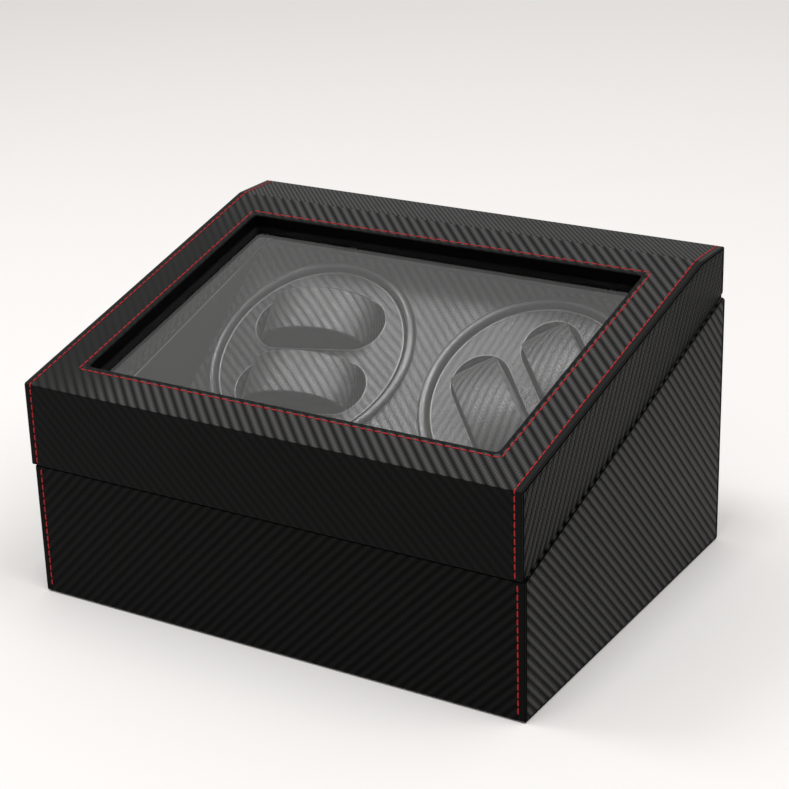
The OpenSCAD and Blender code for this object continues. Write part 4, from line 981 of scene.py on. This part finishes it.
def makeCushion(word, level):
    # the outline as a band from one flat side to the other: it crowns in the middle as 1 less a power
    # of the distance from it, and at both ends of the arch fine creases run across it
    loop = cushionLoop()
    step = np.linalg.norm(np.roll(loop, -1, 0) - loop, axis=1)
    arc = np.concatenate([[0], np.cumsum(step)[:-1]])
    along = np.roll(loop, -1, 0) - np.roll(loop, 1, 0)
    normal = np.stack([along[:, 1], -along[:, 0]], 1) / np.linalg.norm(along, axis=1)[:, None]
    half = cushion["wide"] / 2
    # rows run from the middle of one flat side over its edge, across the band and down the other side
    shrink = np.array([0.0, 0.25, 0.5, 0.7, 0.85, 0.93, 0.97])
    across = np.sin(np.linspace(-pi / 2, pi / 2, 25))
    middle = np.array([0, cushion["middle"]])
    seed, k = np.random.default_rng(4), creasing
    creases = [(height, seed.uniform(k["least"], k["most"]), seed.uniform(0, k["shifts"]))
               for height in k["heights"]]
    sides, band = {-1: [], 1: []}, []
    for sign in (-1, 1):
        for share in shrink:
            flat = middle + (loop - middle) * share
            wide = half - cushion["edge"] + cushion["bulge"] * (1 - share ** 2)
            sides[sign].append(np.column_stack([flat[:, 0], np.full(len(loop), sign * wide), flat[:, 1]]))
    for v in across:
        crown = cushion["crown"] * (1 - abs(v) ** cushion["crownPower"])
        edge = cushion["edge"] * np.clip((abs(v) - cushion["edgeStart"]) / (1 - cushion["edgeStart"]), 0, 1)
        lift = np.full(len(loop), crown - edge - cushion["crown"] * cushion["crownIn"])
        for height, deep, shift in creases:
            line = height + 1 + k["sway"] * np.sin(k["waves"] * v + shift)
            crease = deep * np.exp(-((loop[:, 1] - line) / k["wide"]) ** 2) * (0.5 + 0.5 * abs(v))
            ends = (loop[:, 0] != 0) & (loop[:, 1] > k["lowest"])
            lift -= ends * k["deep"] * crease
        flat = loop + normal * lift[:, None]
        band.append(np.column_stack([flat[:, 0], np.full(len(loop), v * half), flat[:, 1]]))
    grid = np.array(sides[-1] + band + sides[1][::-1])
    off = table["slotOff"] * level
    points = tablePlace(word, grid[..., 0].ravel(), grid[..., 1].ravel() + off, grid[..., 2].ravel())
    faces = gridFaces(len(grid), len(loop), wrapColumns=True)
    uv = np.stack([np.tile(arc, (len(grid), 1)), grid[..., 1]], -1).reshape(-1, 2)
    place = "Upper" if level > 0 else "Lower"
    thing = makeMesh(f"{word}{place}Cushion", points, faces, cushionLeather, f"{word}_{place.lower()}_pad",
                     uv, merge=0.001)
    thing.data.materials.append(padSides)
    row = np.arange(len(faces)) // len(loop)
    onSide = (row < len(shrink)) | (row >= len(grid) - 1 - len(shrink))
    if len(thing.data.polygons) == len(faces):
        thing.data.polygons.foreach_set("material_index", onSide.astype(int))
    return thing


liner = {"half": 157.5, "end": 125, "lip": 2.5, "piping": 0.4}


def linerPiping(word):
    # a thin straight bead along the upper inner edge of the lining beside the turntables, grey as a painted
    # highlight
    steps = 8
    t = np.tile(np.linspace(0, 2 * pi, steps, endpoint=False), 2)
    side, r = (-1 if word == "left" else 1), liner["piping"]
    y = np.repeat([-liner["end"], liner["end"]], steps)
    x = side * (liner["half"] + r) + r * np.cos(t)
    z = splitZ(y) + liner["lip"] + r * np.sin(t)
    return makeMesh(word + "LinerPiping", np.stack([x, y, z], 1), gridFaces(2, steps, wrapColumns=True),
                    beadHighlight, "base")


for word in ("left", "right"):
    linerPiping(word)
    bezel(word)
    discRim(word)
    slotLips(word)
    for level in (1, -1):
        pad = makeCushion(word, level)
        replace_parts(pad, f"{word}_{'upper' if level > 0 else 'lower'}_cushion")
print("turntables dressed")


# floor, lamps and world

studio = {"floor": (0.86, 0.845, 0.83), "floorSize": 14, "worldSeen": 0.64, "worldLight": 0.60}


def makeFloor():
    # a pale square under the case, which takes its shadow
    h = studio["floorSize"] / 2
    mesh = bpy.data.meshes.new("floor")
    mesh.from_pydata([(-h, -h, 0), (h, -h, 0), (h, h, 0), (-h, h, 0)], [], [(0, 1, 2, 3)])
    n = Nodes("paleFloor")
    n.set(Base_Color=(*studio["floor"], 1), Roughness=0.9, Specular_IOR_Level=0.1)
    mesh.materials.append(n.material)
    floor = bpy.data.objects.new("floor", mesh)
    bpy.context.scene.collection.objects.link(floor)


def makeWorld():
    # brighter where the camera, a reflection or the pane looks at it than where it lights
    world = bpy.data.worlds.new("studio")
    world.use_nodes = True
    bpy.context.scene.world = world
    tree = world.node_tree
    light, seen = tree.nodes["Background"], tree.nodes.new("ShaderNodeBackground")
    for node, colour, level in ((light, (1, 0.985, 0.97, 1), studio["worldLight"]),
                                (seen, (1, 0.99, 0.98, 1), studio["worldSeen"])):
        node.inputs[0].default_value, node.inputs[1].default_value = colour, level
    ray = tree.nodes.new("ShaderNodeLightPath")
    looked = ray.outputs["Is Camera Ray"]
    for kind in ("Is Glossy Ray", "Is Transmission Ray"):
        either = tree.nodes.new("ShaderNodeMath")
        either.operation = "MAXIMUM"
        tree.links.new(looked, either.inputs[0])
        tree.links.new(ray.outputs[kind], either.inputs[1])
        looked = either.outputs[0]
    mix = tree.nodes.new("ShaderNodeMixShader")
    for value, socket in zip((looked, light.outputs[0], seen.outputs[0]), mix.inputs):
        tree.links.new(value, socket)
    tree.links.new(mix.outputs[0], tree.nodes["World Output"].inputs["Surface"])


lamps = {
    "left": {"place": (-1.2, -0.38, 1.9), "aim": (0, 0, 0.1), "size": (0.7, 0.7), "power": 9},
    "overhead": {"place": (0.05, -0.45, 2.2), "aim": (0, 0, 0.1), "size": (0.5, 0.5), "power": 12},
    "ceiling": {"place": (2.0, 0.3, 3.6), "aim": (0.1, 0, 0), "size": (2.4, 2.4), "power": 50},
}


def makeLamps():
    # rectangles of light, each turned to face its aim
    for name, l in lamps.items():
        data = bpy.data.lights.new(name, "AREA")
        data.shape, data.size, data.size_y = "RECTANGLE", *l["size"]
        data.energy = l["power"]
        lamp = bpy.data.objects.new(name, data)
        bpy.context.scene.collection.objects.link(lamp)
        lamp.location = l["place"]
        way = np.array(l["aim"]) - np.array(l["place"])
        lamp.rotation_mode = "QUATERNION"
        lamp.rotation_quaternion = Vector(way).to_track_quat("-Z", "Y")


makeFloor()
makeWorld()
makeLamps()
bpy.context.scene.view_settings.view_transform = "Standard"
print("studio lit")
